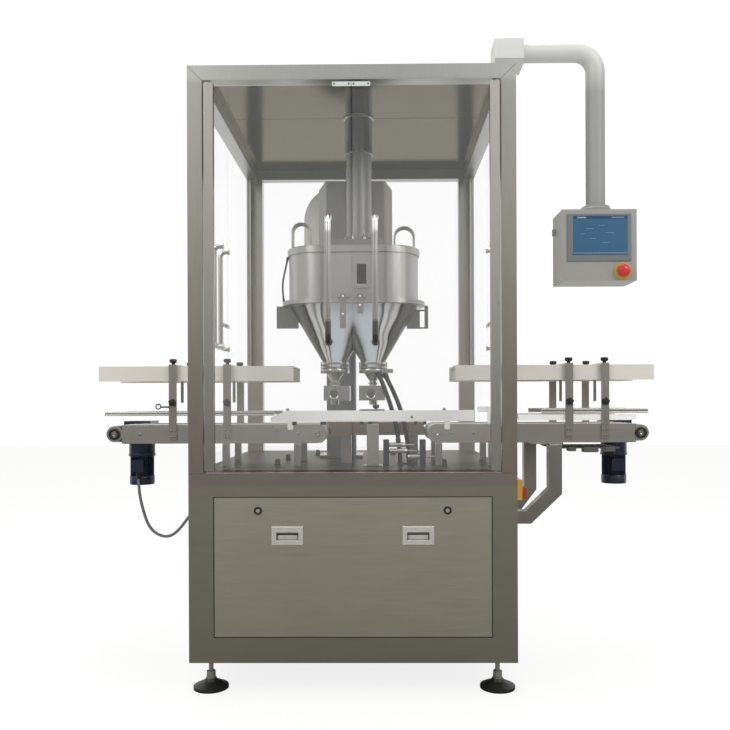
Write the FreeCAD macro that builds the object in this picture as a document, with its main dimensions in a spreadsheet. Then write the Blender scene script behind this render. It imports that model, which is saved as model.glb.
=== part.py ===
import FreeCAD, Part
import math
import os
import re
from types import SimpleNamespace
from FreeCAD import Placement, Rotation, Vector

# Twin-head auger powder filler in a glazed enclosure, with an infeed and an
# outfeed conveyor. Working frame: X along the line from the middle of the
# cabinet, Y from the front face to the back, Z up from the floor. Each
# sub-part is then placed about the datum, which is the middle of the
# machine's footprint on the floor.

doc = FreeCAD.newDocument("auger_powder_filler")
sizes = doc.addObject("Spreadsheet::Sheet", "sizes")

SIZES = {
    # datum
    "datum_x": -75.5,
    "datum_y": -580,
    # cabinet and enclosure
    "width": 1100,
    "depth": 1200,
    "top": 2110,
    "table": 745,
    "table_sheet": 5,
    "bottom": 110,
    "post": 50,
    "face_stile": 83,
    "panel_gap": 3,
    "skin": 2,
    "sheet_inset": 2,
    # levelling feet
    "foot_inset": 57,
    "foot_depth": 78,
    "pad_radius": 60,
    "pad_height": 26,
    "stem_radius": 8,
    "nut_width": 27,
    # front service panel
    "panel_sheet": 18,
    "pull_inset": 248,
    "pull_z": 536,
    "pull_width": 108,
    "pull_height": 64,
    "pull_mouth_width": 74,
    "pull_mouth_height": 27,
    "lock_inset": 150,
    "lock_z": 620,
    "lock_radius": 11,
    # doors
    "stile_width": 32,
    "stile_depth": 20,
    "pane": 8,
    "pane_inset": 8,
    "pivot_radius": 5,
    "pivot_fit": 0.05,
    "handle_x": 78,
    "handle_low": 1179,
    "handle_high": 1603,
    "handle_radius": 10,
    "handle_reach": 42,
    "handle_bend": 22,
    "flange_radius": 13,
    "flange_thick": 6,
    "side_inset": 15,
    "side_door_foot": 1163,
    "side_handle_low": 1197,
    "side_handle_high": 1625,
    "catch_length": 62,
    "catch_height": 15,
    # conveyors
    "line_y": 412,
    "line_width": 266,
    "plate": 6,
    "plate_top": 900,
    "plate_height": 70,
    "roller_radius": 28,
    "roller_axis": 866,
    "belt": 3,
    "belt_play": 0.4,
    "ear_radius": 30,
    "shaft_radius": 10,
    "bush_radius": 17,
    "neck_width": 30,
    "neck_height": 28,
    "spacer_radius": 8,
    "bed_inset": 55,
    "slide_sheet": 5,
    "infeed_end": -895,
    "infeed_inner": -138,
    "infeed_plate_end": -868,
    "outfeed_inner": 303,
    "outfeed_end": 1055,
    "outfeed_plate_end": 1037,
    "cover_left": -957,
    "cover_left_inner": -230,
    "cover_right_inner": 372,
    "cover_right": 1108,
    "cover_top": 1118,
    "cover_skirt": 56,
    "cover_sheet": 4,
    "mouth_margin": 24.5,
    "mouth_drop": 110,
    "mouth_rise": 22,
    "gantry_width": 29,
    "gantry_bar": 6,
    "rod_radius": 6,
    "knob_radius": 13,
    "knob_height": 18,
    "guide_low": 910,
    "guide_high": 951,
    "guide_thick": 12,
    "guide_y": 276,
    "bed_left": -98,
    "bed_right": 262,
    "bed_height": 50,
    "bed_front": 400,
    "leg": 25,
    "arm_tube": 48,
    "arm_drop": 554,
    # conveyor drives
    "drive_y": 610,
    "gearbox_width": 108,
    "gearbox_height": 93,
    "gearbox_low": 815,
    "motor_flange_radius": 52,
    "motor_flange_low": 762,
    "motor_radius": 42,
    "motor_cowl_radius": 49,
    "motor_cowl_height": 33,
    "motor_low": 646,
    "terminal_width": 46,
    "terminal_height": 50,
    "terminal_low": 700,
    # operator panel
    "mast_inset": 22,
    "mast_y": 47,
    "mast_base": 97,
    "mast_base_height": 84,
    "arm_radius": 32,
    "arm_rise": 53,
    "arm_reach": 825,
    "arm_bend": 68,
    "box_width": 246,
    "box_height": 236,
    "box_depth": 134,
    "box_low": 1380,
    "screen_width": 211,
    "screen_height": 156,
    "screen_offset": 7.5,
    "screen_rise": 142,
    "stop_offset": 69.5,
    "stop_rise": 31,
    "stop_radius": 21.5,
    "stop_collar": 29,
    # isolator
    "isolator_y": 172,
    "isolator_z": 672,
    "isolator_width": 84,
    "isolator_height": 70,
    "isolator_depth": 38,
    "isolator_knob_z": 657,
    # filling head
    "head_x": -8,
    "hopper_half": 249,
    "hopper_radius": 127,
    "hopper_wall": 2,
    "outlet_half": 74,
    "flange_low": 1350,
    "flange_high": 1366,
    "flange_lip": 26,
    "rim_low": 1540,
    "rim_high": 1562,
    "rim_lip": 6,
    "lid_sheet": 4,
    "cone_low": 1139,
    "collar_radius": 48,
    "collar_low": 1108,
    "tube_flange_radius": 56,
    "tube_flange_low": 1093,
    "tube_bore": 12.5,
    "funnel_radius": 34,
    "funnel_low": 1062,
    "spout_block_top": 1045,
    "spout_block_low": 988,
    "spout_block_width": 100,
    "spout_block_depth": 84,
    "spout_low": 972,
    "port_radius": 19,
    "window_width": 36,
    "window_height": 74,
    "window_x": 26,
    "window_z": 1457,
    "auger_radius": 12.1,
    "auger_core": 5,
    "auger_lead": 34,
    "auger_turns": 2,
    "feed_x": 12,
    "feed_y": 480,
    "feed_radius": 50.5,
    "feed_wall": 2,
    "feed_rise": 50,
    "column_x": -73,
    "column_y": 770,
    "column_width": 124,
    "column_depth": 120,
    "column_drop": 540,
    "column_foot": 30,
    "column_foot_sheet": 12,
    "housing_drop": 207,
    "housing_left": 156,
    "housing_right": 49,
    "housing_round": 150,
    "drive_top": 1878,
    "drive_front": 548,
    "drive_back": 700,
    "drive_bevel": 28,
    "drive_edge": 34,
    "nose_height": 40,
    # leads
    "lead_radius": 6,
    "cable_radius": 3.5,
    "belt_width": 225,
    "hinge_inset": 70.5,
    "hinge_setback": 12,
    "hinge_along": 70,
    "side_handle_reach": 470,
    "hose_radius": 8.5,
}

for row, (alias, number) in enumerate(SIZES.items(), start=1):
    sizes.set(f"A{row}", alias)
    sizes.set(f"B{row}", str(number))
    sizes.setAlias(f"B{row}", alias)
doc.recompute()
d = SimpleNamespace(**{alias: float(sizes.get(alias)) for alias in SIZES})

WORD = re.compile(r"[a-z][a-z_]*[a-z]")
AXES = ("x", "y", "z")
TURN = {
    "X": Rotation(Vector(0, 1, 0), 90),
    "Y": Rotation(Vector(1, 0, 0), -90),
    "Z": Rotation(),
}
nodes = []


def bind(thing, prop, formula):
    thing.setExpression(prop, WORD.sub(lambda word: "sizes." + word.group(0), formula))


def place(thing, corner, turn=None):
    if turn:
        thing.Placement = Placement(Vector(), turn)
    for axis, formula in zip(AXES, corner):
        bind(thing, "Placement.Base." + axis, formula)
    return thing


def box(size, corner):
    solid = doc.addObject("Part::Box", "box")
    for prop, formula in zip(("Length", "Width", "Height"), size):
        bind(solid, prop, formula)
    return place(solid, corner)


def rod(radius, length, start, axis="Z"):
    solid = doc.addObject("Part::Cylinder", "rod")
    bind(solid, "Radius", radius)
    bind(solid, "Height", length)
    return place(solid, start, TURN[axis])


def cone(low_radius, high_radius, length, start):
    solid = doc.addObject("Part::Cone", "cone")
    bind(solid, "Radius1", low_radius)
    bind(solid, "Radius2", high_radius)
    bind(solid, "Height", length)
    return place(solid, start)


def join(parts):
    solid = doc.addObject("Part::MultiFuse", "join")
    solid.Shapes = parts
    solid.Refine = True
    return solid


def cut(base, tools):
    solid = doc.addObject("Part::Cut", "cut")
    solid.Base = base
    solid.Tool = tools[0] if len(tools) == 1 else join(tools)
    solid.Refine = True
    return solid


def group(parts):
    pieces = doc.addObject("Part::Compound", "group")
    pieces.Links = parts
    return pieces


def node(label, thing):
    # a sub-part's own placement carries it from the working frame to the datum
    carrier = thing if thing.TypeId != "Part::Box" else group([thing])
    carrier.Label = label
    for axis in "xy":
        bind(carrier, "Placement.Base." + axis, "datum_" + axis)
    nodes.append(carrier)
    return carrier


def corner_arc(before, at, after, radius):
    # tangent arc of a given radius in the corner at a point
    into = (before - at).normalize()
    out = (after - at).normalize()
    half = into.getAngle(out) / 2
    reach = radius / math.tan(half)
    middle = (into + out).normalize()
    centre = at + middle * (radius / math.sin(half))
    return at + into * reach, centre - middle * radius, at + out * reach


def outline(points):
    # closed outline; a point is (x, y) or (x, y, corner radius)
    spots = [Vector(point[0], point[1], 0) for point in points]
    ends = []
    edges = []
    for index, point in enumerate(points):
        at = spots[index]
        if len(point) == 3:
            after = spots[(index + 1) % len(spots)]
            first, middle, last = corner_arc(spots[index - 1], at, after, point[2])
            edges.append(Part.Arc(first, middle, last))
            ends.append((first, last))
        else:
            ends.append((at, at))
    for index, (_, leave) in enumerate(ends):
        arrive = ends[(index + 1) % len(ends)][0]
        if leave.distanceToPoint(arrive) > 0.001:
            edges.append(Part.LineSegment(leave, arrive))
    return edges


def rectangle(x_low, y_low, x_high, y_high, radius=0):
    corners = [(x_low, y_low), (x_high, y_low), (x_high, y_high), (x_low, y_high)]
    if radius:
        corners = [corner + (radius,) for corner in corners]
    return outline(corners)


def circle(x, y, radius):
    return [Part.Circle(Vector(x, y, 0), Vector(0, 0, 1), radius)]


def racetrack(x, y, half, radius):
    ends = half - radius
    left, right = x - ends, x + ends
    low, high = y - radius, y + radius
    return [
        Part.LineSegment(Vector(left, low, 0), Vector(right, low, 0)),
        Part.Arc(Vector(right, low, 0), Vector(right + radius, y, 0), Vector(right, high, 0)),
        Part.LineSegment(Vector(right, high, 0), Vector(left, high, 0)),
        Part.Arc(Vector(left, high, 0), Vector(left - radius, y, 0), Vector(left, low, 0)),
    ]


def sketch(body, plane, offset, loops):
    # offset is a formula along the plane's normal: +Z for XY, -Y for XZ, +X for YZ
    drawing = body.newObject("Sketcher::SketchObject", "sketch")
    support = next(f for f in body.Origin.OriginFeatures if f.Role == plane + "_Plane")
    drawing.AttachmentSupport = [(support, "")]
    drawing.MapMode = "FlatFace"
    bind(drawing, "AttachmentOffset.Base.z", offset)
    for loop in loops:
        drawing.addGeometry(loop, False)
    return drawing


def pad(body, plane, offset, loops, length):
    solid = body.newObject("PartDesign::Pad", "pad")
    solid.Profile = sketch(body, plane, offset, loops)
    bind(solid, "Length", length)
    return solid


def pocket(body, plane, offset, loops, depth):
    hollow = body.newObject("PartDesign::Pocket", "pocket")
    hollow.Profile = sketch(body, plane, offset, loops)
    bind(hollow, "Length", depth)
    return hollow


def plate(plane, offset, loops, length):
    body = doc.addObject("PartDesign::Body", "body")
    pad(body, plane, offset, loops, length)
    return body


def revolved(profile, centre):
    # profile is (radius, height) points about a vertical axis
    body = doc.addObject("PartDesign::Body", "turned")
    turned = body.newObject("PartDesign::Revolution", "revolution")
    turned.Profile = sketch(body, "XZ", "0", [outline(profile)])
    turned.ReferenceAxis = (turned.Profile[0], ["V_Axis"])
    turned.Angle = 360
    return place(body, centre)


def route(points, radius=None):
    # straight runs joined by tangent arcs; each arc as large as its runs allow
    spots = [Vector(*point) for point in points]
    edges = []
    radii = []
    start = spots[0]
    for before, at, after in zip(spots, spots[1:], spots[2:]):
        turn = (at - before).getAngle(after - at)
        shorter = min(at.distanceToPoint(before), at.distanceToPoint(after))
        bend = radius or 0.45 * shorter / math.tan(turn / 2)
        first, middle, last = corner_arc(before, at, after, bend)
        edges.append(Part.LineSegment(start, first).toShape())
        edges.append(Part.Arc(first, middle, last).toShape())
        radii.append(round(bend, 1))
        start = last
    edges.append(Part.LineSegment(start, spots[-1]).toShape())
    return Part.Wire(edges), radii


def bent_tube(points, radius, bend=None):
    wire, radii = route(points, bend)
    spine = doc.addObject("Part::Feature", "spine")
    spine.Shape = wire
    section = doc.addObject("Part::Circle", "section")
    bind(section, "Radius", radius)
    start, following = Vector(*points[0]), Vector(*points[1])
    section.Placement = Placement(start, Rotation(Vector(0, 0, 1), following - start))
    tube = doc.addObject("Part::Sweep", "tube")
    tube.Sections = [section]
    tube.Spine = (spine, [])
    tube.Solid = True
    tube.Frenet = False
    doc.recompute()
    area = math.pi * float(section.Radius) ** 2
    print("bend radii", radii, "volume ratio", round(tube.Shape.Volume / area / wire.Length, 4))
    return tube


# head hoses: from the right spout's flange, down through grommets in the table
HOSES = {
    "hose_left": [(86, 361, 1093), (136, 351, 975), (172, 366, 800), (172, 366, 625)],
    "hose_right": [(108, 376, 1093), (172, 376, 975), (204, 376, 800), (204, 376, 625)],
}


# cabinet_frame: welded base and worktop, front and rear rings with an inner lip
def ring(offset, length, outer, inner, foot_out, head_out, foot_in, head_in):
    return plate("XZ", offset, [
        rectangle(-outer, foot_out, outer, head_out),
        rectangle(-inner, foot_in, inner, head_in),
    ], length)


half = d.width / 2
inner_half = half - d.post
opening = half - d.face_stile
cabinet_top = d.table - d.table_sheet
lip_low = d.bottom + d.face_stile + 1
lip_high = cabinet_top - d.face_stile + 9
ring_low = d.bottom + d.post
ring_high = cabinet_top - d.post
base = [
    ring("-post", "post", half, inner_half, d.bottom, cabinet_top, ring_low, ring_high),
    ring("-panel_sheet - 2", "panel_sheet + 2", inner_half, opening,
         ring_low, ring_high, lip_low, lip_high),
    ring("-depth", "post", half, inner_half, d.bottom, cabinet_top, ring_low, ring_high),
]
for side in ("-width / 2", "width / 2 - post"):
    for low in ("bottom", "table - table_sheet - post"):
        base.append(box(("post", "depth - 2 * post", "post"), (side, "post", low)))
for x in ("-300", "270"):
    base.append(box(("30", "panel_sheet", "panel_gap"), (x, "2", "bottom + face_stile + 1")))
    base.append(box(("30", "depth - 2 * post", "post"), (x, "post", "table - table_sheet - post")))
base.append(box(("width", "depth", "table_sheet"), ("-width / 2", "0", "table - table_sheet")))
holes = []
for x in ("-width / 2 + hinge_inset", "width / 2 - hinge_inset"):
    holes.append(rod("pivot_radius + pivot_fit", "20", (x, "hinge_setback", "table - 12")))
for points in HOSES.values():
    x, y, _ = points[-1]
    holes.append(rod("hose_radius + 1", "20", (str(x), str(y), "table - 12")))
node("cabinet_frame", cut(join(base), holes))

# cabinet_panels: sheet skins let into both sides and the back, and a base tray
skins = []
for x in ("-width / 2 + sheet_inset", "width / 2 - sheet_inset - skin"):
    skins.append(box(
        ("skin", "depth - 2 * post", "table - table_sheet - bottom - 2 * post"),
        (x, "post", "bottom + post")))
skins.append(box(
    ("width - 2 * post", "skin", "table - table_sheet - bottom - 2 * post"),
    ("-width / 2 + post", "depth - sheet_inset - skin", "bottom + post")))
skins.append(box(
    ("width - 2 * post", "depth - 2 * post", "skin"),
    ("-width / 2 + post", "post", "bottom")))
node("cabinet_panels", group(skins))

# levelling_feet: dished pad, stem and locking nut at each corner
feet = []
pad_profile = [
    (0, 0), (d.pad_radius, 0), (d.pad_radius, 9), (24, d.pad_height), (16, 38),
    (d.stem_radius, 38), (d.stem_radius, d.bottom), (0, d.bottom),
]
for x in ("-width / 2 + foot_inset", "width / 2 - foot_inset"):
    for y in ("foot_depth", "depth - foot_depth"):
        foot = revolved(pad_profile, (x, y, "0"))
        across = d.nut_width / math.sqrt(3)
        hexagon = [
            (across * math.cos(math.radians(turn)), across * math.sin(math.radians(turn)))
            for turn in range(0, 360, 60)
        ]
        nut = place(plate("XY", "38", [outline(hexagon)], "21"), (x, y, "0"))
        feet.append(join([foot, nut]))
node("levelling_feet", group(feet))

# front_panel: lift-off service panel with two recessed pulls and two lock holes
panel = doc.addObject("PartDesign::Body", "panel")
panel_low = lip_low + d.panel_gap
panel_high = lip_high - d.panel_gap
pad(panel, "XZ", "-panel_sheet - 2", [
    rectangle(-opening + d.panel_gap, panel_low, opening - d.panel_gap, panel_high)
], "panel_sheet")
pulls = []
mouths = []
for side in (-1, 1):
    x = side * (opening - d.pull_inset)
    pulls.append(rectangle(
        x - d.pull_width / 2, d.pull_z - d.pull_height / 2,
        x + d.pull_width / 2, d.pull_z + d.pull_height / 2, 4))
    mouths.append(rectangle(
        x - d.pull_mouth_width / 2, d.pull_z - d.pull_mouth_height / 2 - 4.5,
        x + d.pull_mouth_width / 2, d.pull_z + d.pull_mouth_height / 2 - 4.5, 3))
pocket(panel, "XZ", "-2", pulls, "2")
pocket(panel, "XZ", "-4", mouths, "14")
lock_x = opening - d.lock_inset
barrels = [circle(side * lock_x, d.lock_z, d.lock_radius + d.pivot_fit) for side in (-1, 1)]
pocket(panel, "XZ", "-2", barrels, "panel_sheet")
node("front_panel", panel)

# panel_lock: quarter-turn barrel with a cam behind the lip, drawn unlocked
lock_at = "width / 2 - face_stile - lock_inset"
for label, x, cam in (
    ("panel_lock_left", f"-({lock_at})", "0"),
    ("panel_lock_right", lock_at, "-55"),
):
    barrel = rod("lock_radius", "panel_sheet + 3", (x, "0", "lock_z"), "Y")
    blade = box(("55", "4", "18"), (x + " + " + cam, "20.6", "lock_z - 9"))
    slot = box(("3", "3", "13"), (x + " - 1.5", "-1", "lock_z - 6.5"))
    node(label, cut(join([barrel, blade]), [slot]))

# enclosure_frame: posts and beams with the door pivots, hinge brackets and the arm's post
posts = []
for x in ("-width / 2", "width / 2 - post"):
    for y in ("0", "depth - post"):
        posts.append(box(("post", "post", "top - table"), (x, y, "table")))
    posts.append(box(("post", "depth", "post"), (x, "0", "top - post")))
for x in ("-width / 2 + post", "width / 2 - post - 24"):
    posts.append(box(("24", "post", "top - table"), (x, "depth - post", "table")))
for y in ("0", "depth - post"):
    posts.append(box(("width", "post", "post"), ("-width / 2", y, "top - post")))
posts.append(box(("mast_base", "mast_base", "14"),
                 ("width / 2 - mast_inset - mast_base / 2", "mast_y - mast_base / 2 + 2", "top")))
posts.append(rod("20", "72", ("width / 2 - mast_inset", "mast_y", "top")))
holes = []
for x in ("-width / 2 + hinge_inset", "width / 2 - hinge_inset"):
    holes.append(rod("pivot_radius + pivot_fit", "18", (x, "hinge_setback", "top - post")))
for x in ("-width / 2 + side_inset", "width / 2 - side_inset"):
    for y, bracket in (("hinge_along", "post"), ("depth - hinge_along", "depth - post - 36")):
        posts.append(box(("20", "36", "18"), (x + " - 10", bracket, "side_door_foot - 20")))
        holes.append(rod("pivot_radius + pivot_fit", "18", (x, y, "top - post")))
        holes.append(rod("pivot_radius + pivot_fit", "30", (x, y, "side_door_foot - 20")))
node("enclosure_frame", cut(join(posts), holes))

# roof_sheet: bright sheet between the beams, open around the feed pipe
node("roof_sheet", cut(
    box(("width - 2 * post", "depth - 2 * post", "2"), ("-width / 2 + post", "post", "top - 4")),
    [rod("feed_radius + 3", "10", ("feed_x", "feed_y", "top - 8"))]))

# fixed_screens: lower side panes notched at the brackets and opened for the line
low = d.table
high = d.side_door_foot - 5
step = d.side_door_foot - 20
near, far = d.post, d.depth - d.post
side_pane = [
    (near, low), (far, low), (far, step), (far - 36, step), (far - 36, high),
    (near + 36, high), (near + 36, step), (near, step),
]
mouth = rectangle(
    d.line_y - d.line_width / 2 - d.mouth_margin, d.plate_top - d.mouth_drop,
    d.line_y + d.line_width / 2 + d.mouth_margin, d.cover_top + d.mouth_rise)
panes = []
for offset in ("-width / 2 + side_inset - pane / 2", "width / 2 - side_inset - pane / 2"):
    panes.append(plate("YZ", offset, [outline(side_pane), mouth], "pane"))
panes.append(box(
    ("width - 2 * post - 48", "pane", "top - post - table"),
    ("-width / 2 + post + 24", "depth - post / 2 - pane / 2", "table")))
node("fixed_screens", group(panes))


# doors: clear leaf with a pivot stile, tube handle and catch
def leaf_box(hinge, along, out, across, forward, height):
    # a box given by ranges from the hinge axis: (start, length) of each
    corner = ["0", "0"]
    lengths = ["0", "0"]
    for axis, (start, length) in ((along, across), (out, forward)):
        index = "xy".index(axis[1])
        at = hinge[index]
        away = f"{start} + {length}"
        corner[index] = f"{at} + {start}" if axis[0] == "+" else f"{at} - ({away})"
        lengths[index] = length
    return box((*lengths, height[1]), (*corner, height[0]))


def door(label, hinge, along, out, foot, leaf_end, handle_at, handle_low, handle_high, catch_low):
    flip = {"+": 1, "-": -1}
    x, y = hinge_number[label]

    def spot(across, forward, z):
        at = [x, y]
        at["xy".index(along[1])] += flip[along[0]] * across
        at["xy".index(out[1])] += flip[out[0]] * forward
        return (at[0], at[1], z)

    leaf_low = f"{foot} + 3"
    pane_height = f"top - post - 10 - ({foot}) - 3"
    leaf = leaf_box(hinge, along, out, ("pane_inset", f"{leaf_end} - pane_inset"),
                    ("(-pane / 2)", "pane"), (leaf_low, pane_height))
    node(label, leaf)

    stile = leaf_box(hinge, along, out, ("(-stile_width / 2)", "stile_width"),
                     ("(-stile_depth / 2)", "stile_depth"),
                     (foot, f"top - post - 7 - ({foot})"))
    groove = leaf_box(hinge, along, out, ("pane_inset", "stile_width"),
                      ("(-pane / 2)", "pane"), (leaf_low, pane_height))
    pins = [
        rod("pivot_radius", "14", (hinge[0], hinge[1], f"{foot} - 11")),
        rod("pivot_radius", "22", (hinge[0], hinge[1], "top - post - 8")),
    ]
    outer = d.pane / 2
    reach = d.handle_reach
    tube = bent_tube([
        spot(handle_at, outer, handle_low),
        spot(handle_at, outer + reach - 4, handle_low),
        spot(handle_at, outer + reach - 4, handle_high),
        spot(handle_at, outer, handle_high),
    ], "handle_radius", d.handle_bend)
    collars = []
    for z in (handle_low, handle_high):
        at = spot(handle_at, outer, z)
        ahead = spot(handle_at, outer + d.flange_thick, z)
        axis = out[1].upper()
        start = tuple(min(a, b) for a, b in zip(at, ahead))
        collars.append(rod("flange_radius", "flange_thick", tuple(str(v) for v in start), axis))
    catch = leaf_box(hinge, along, out, (f"{leaf_end} - catch_length", "catch_length"),
                     ("pane / 2", "4"), (catch_low, "catch_height"))
    node(label + "_fittings", group([cut(join([stile] + pins), [groove]), join([tube] + collars), catch]))


hinge_x = half - d.hinge_inset
side_x = half - d.side_inset
hinge_number = {
    "front_door_left": (-hinge_x, d.hinge_setback),
    "front_door_right": (hinge_x, d.hinge_setback),
    "side_door_left_front": (-side_x, d.hinge_along),
    "side_door_left_rear": (-side_x, d.depth - d.hinge_along),
    "side_door_right_front": (side_x, d.hinge_along),
    "side_door_right_rear": (side_x, d.depth - d.hinge_along),
}
front_x = "width / 2 - hinge_inset"
for label, x, along in (
    ("front_door_left", f"-({front_x})", "+x"),
    ("front_door_right", front_x, "-x"),
):
    door(label, (x, "hinge_setback"), along, "-y", "table + 7", f"{front_x} - 1.5",
         hinge_x - d.handle_x, d.handle_low + 5, d.handle_high - 5, "top - post - 22")
for side, x, out in (("left", "-width / 2 + side_inset", "-x"), ("right", "width / 2 - side_inset", "+x")):
    for end, y, along in (("front", "hinge_along", "+y"), ("rear", "depth - hinge_along", "-y")):
        door(f"side_door_{side}_{end}", (x, y), along, out, "side_door_foot",
             "depth / 2 - hinge_along - 2", d.side_handle_reach,
             d.side_handle_low + 10, d.side_handle_high - 10, "side_door_foot + 127")


# conveyors: an infeed and an outfeed belt between side plates
front_plate = "line_y - line_width / 2"
rear_plate = "line_y + line_width / 2 - plate"
CONVEYORS = {
    "infeed": ("infeed_end", "infeed_inner", "infeed_plate_end", "infeed_inner"),
    "outfeed": ("outfeed_end", "outfeed_inner", "outfeed_inner", "outfeed_plate_end"),
}
frames = []
for side, (end, inner, left, right) in CONVEYORS.items():
    ends = (end, inner)
    parts = []
    for y in (front_plate, rear_plate):
        parts.append(box((f"{right} - ({left})", "plate", "plate_height"),
                         (left, y, "plate_top - plate_height")))
        parts.append(rod("ear_radius", "plate", (end, y, "roller_axis"), "Y"))
        neck = end if side == "infeed" else f"{right} - neck_width / 3"
        parts.append(box(("neck_width", "plate", "neck_height"), (neck, y, "roller_axis - neck_height / 2")))
        parts.append(rod("plate_height / 2", "plate", (inner, y, "plate_top - plate_height / 2"), "Y"))
    parts.append(rod("bush_radius", "4", (end, "line_y - line_width / 2 - 4", "roller_axis"), "Y"))
    for share in (0.2, 0.5, 0.8):
        spacer = f"({left}) + {share} * ({right} - ({left}))"
        parts.append(rod("spacer_radius", "line_width",
                         (spacer, "line_y - line_width / 2", "roller_axis"), "Y"))
    parts.append(box((f"{right} - ({left}) - 2 * bed_inset", "line_width", "slide_sheet"),
                     (f"{left} + bed_inset", "line_y - line_width / 2", "roller_axis + 20")))
    bores = [rod("shaft_radius + pivot_fit", "line_width + 20",
                 (at, "line_y - line_width / 2 - 10", "roller_axis"), "Y") for at in ends]
    frames.append(cut(join(parts), bores))
node("conveyor_frames", group(frames))

# rollers: lagged drum on a shaft with a flatted end, one at each conveyor end
for side, (end, inner, _, _) in CONVEYORS.items():
    for where, at, tail in (("end", end, "30"), ("inner", inner, "0")):
        drum = rod("roller_radius", "line_width - 2 * plate - 4",
                   (at, "line_y - line_width / 2 + plate + 2", "roller_axis"), "Y")
        shaft = rod("shaft_radius", f"line_width + {tail} + 4",
                    (at, "line_y - line_width / 2 - 4", "roller_axis"), "Y")
        key = box(("14", "6", "4"), (f"{at} - 7", "line_y - line_width / 2 - 7", "roller_axis - 2"))
        node(f"{side}_{where}_roller", join([drum, shaft, key]))

# belts: endless loops round each pair of rollers
loops = []
for side, (end, inner, _, _) in CONVEYORS.items():
    a, b = getattr(d, end), getattr(d, inner)
    rings = []
    for radius in (d.roller_radius + d.belt_play + d.belt, d.roller_radius + d.belt_play):
        rings.append(racetrack((a + b) / 2, d.roller_axis, abs(a - b) / 2 + radius, radius))
    loops.append(plate("XZ", "-line_y - belt_width / 2", rings, "belt_width"))
node("belts", group(loops))

# gear_motors: angle gearbox behind each end roller with the motor hanging below
drives = []
for end in ("infeed_end", "outfeed_end"):
    gearbox = box(("gearbox_width", "drive_y - line_y - line_width / 2 + 50", "gearbox_height"),
                  (f"{end} - gearbox_width / 2", "line_y + line_width / 2", "gearbox_low"))
    flange = rod("motor_flange_radius", "gearbox_low - motor_flange_low",
                 (end, "drive_y", "motor_flange_low"))
    casing = rod("motor_radius", "motor_flange_low - motor_low", (end, "drive_y", "motor_low"))
    cowl = rod("motor_cowl_radius", "motor_cowl_height", (end, "drive_y", "motor_low"))
    terminal = box(("terminal_width", "30", "terminal_height"),
                   (f"{end} - terminal_width / 2", "drive_y - motor_radius - 22", "terminal_low"))
    bore = rod("shaft_radius + pivot_fit", "34", (end, "line_y + line_width / 2 - 2", "roller_axis"), "Y")
    drives.append(cut(join([gearbox, flange, casing, cowl, terminal]), [bore]))
node("gear_motors", group(drives))

# tunnel_covers: folded translucent covers over both conveyors, open below
GANTRIES = {"left": (-676, -474), "right": (791, 923)}
covers = []
for left, right, side in (
    ("cover_left", "cover_left_inner", "left"),
    ("cover_right_inner", "cover_right", "right"),
):
    outer = box((f"{right} - ({left})", "line_width - 22", "cover_skirt"),
                (left, "line_y - line_width / 2 + 11", "cover_top - cover_skirt"))
    inner = box((f"{right} - ({left}) + 20", "line_width - 22 - 2 * cover_sheet", "cover_skirt"),
                (f"{left} - 10", "line_y - line_width / 2 + 11 + cover_sheet",
                 "cover_top - cover_skirt - cover_sheet"))
    slots = [rod("rod_radius + 2", "30", (str(x), "line_y", "cover_top - 15")) for x in GANTRIES[side]]
    covers.append(cut(outer, [inner] + slots))
node("tunnel_covers", group(covers))

# guide_gantries: flat uprights and crossbars carrying the steel guide rails
STRIPS = {"left": (-930, -300, 933, 16), "right": (691, 1082, 938, 18)}
gantries = []
knobs = []
for side, spots in GANTRIES.items():
    parts = []
    for x in spots:
        left = f"{x} - gantry_width / 2"
        for y in ("line_y - line_width / 2 - gantry_bar", "line_y + line_width / 2"):
            parts.append(box(("gantry_width", "gantry_bar", "cover_top - 845"), (left, y, "845")))
        parts.append(box(("gantry_width", "line_width + 2 * gantry_bar", "gantry_bar"),
                         (left, "line_y - line_width / 2 - gantry_bar", "cover_top")))
        parts.append(rod("rod_radius", "140", (str(x), "line_y", "cover_top - 136")))
        knobs.append(join([
            rod("knob_radius", "knob_height",
                (str(x), "line_y - line_width / 2 + 6", "cover_top + gantry_bar + 3")),
            rod("knob_radius / 2", "4", (str(x), "line_y - line_width / 2 + 6", "cover_top + gantry_bar")),
        ]))
        front = "line_y - line_width / 2 - gantry_bar"
        knobs.append(join([
            rod("knob_radius", "10", (str(x), front + " - 14", "982"), "Y"),
            rod("knob_radius / 2", "5", (str(x), front + " - 5", "982"), "Y"),
        ]))
    start, stop, height, tall = STRIPS[side]
    for y in ("line_y - line_width / 2", "line_y + line_width / 2 - 8"):
        parts.append(box((str(stop - start), "8", str(tall)), (str(start), y, str(height))))
    gantries.extend(parts)
node("guide_gantries", group(gantries))

# guide_strips: white product guides along the line and the long bar in front
bar_left, bar_right = -312, 439
bar = plate("XZ", "-guide_y - guide_thick / 2", [outline([
    (bar_left + 30, d.guide_low), (bar_right, d.guide_low), (bar_right, d.guide_high),
    (bar_left + 60, d.guide_high), (bar_left, d.guide_high - 24), (bar_left, d.guide_low),
])], "guide_thick")
feet_x = (-250, 330)
stands = [bar]
for x in feet_x:
    stands.append(box(("20", "6", "40"), (str(x), "line_y - line_width / 2 - 6", "guide_low - 30")))
strips = [join(stands)]
strips.append(box(("434", "10", "22"), ("603", "line_y - line_width / 2", "912")))
strips.append(box(("434", "10", "22"), ("603", "line_y + line_width / 2 - 10", "912")))
strips.append(join([
    box(("95", "8", "20"), ("455", "line_y - line_width / 2 + 8", "944")),
    box(("20", "8", "64"), ("490", "line_y - line_width / 2", "900")),
    box(("20", "16", "20"), ("490", "line_y - line_width / 2", "944")),
]))
node("guide_strips", group(strips))
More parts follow.
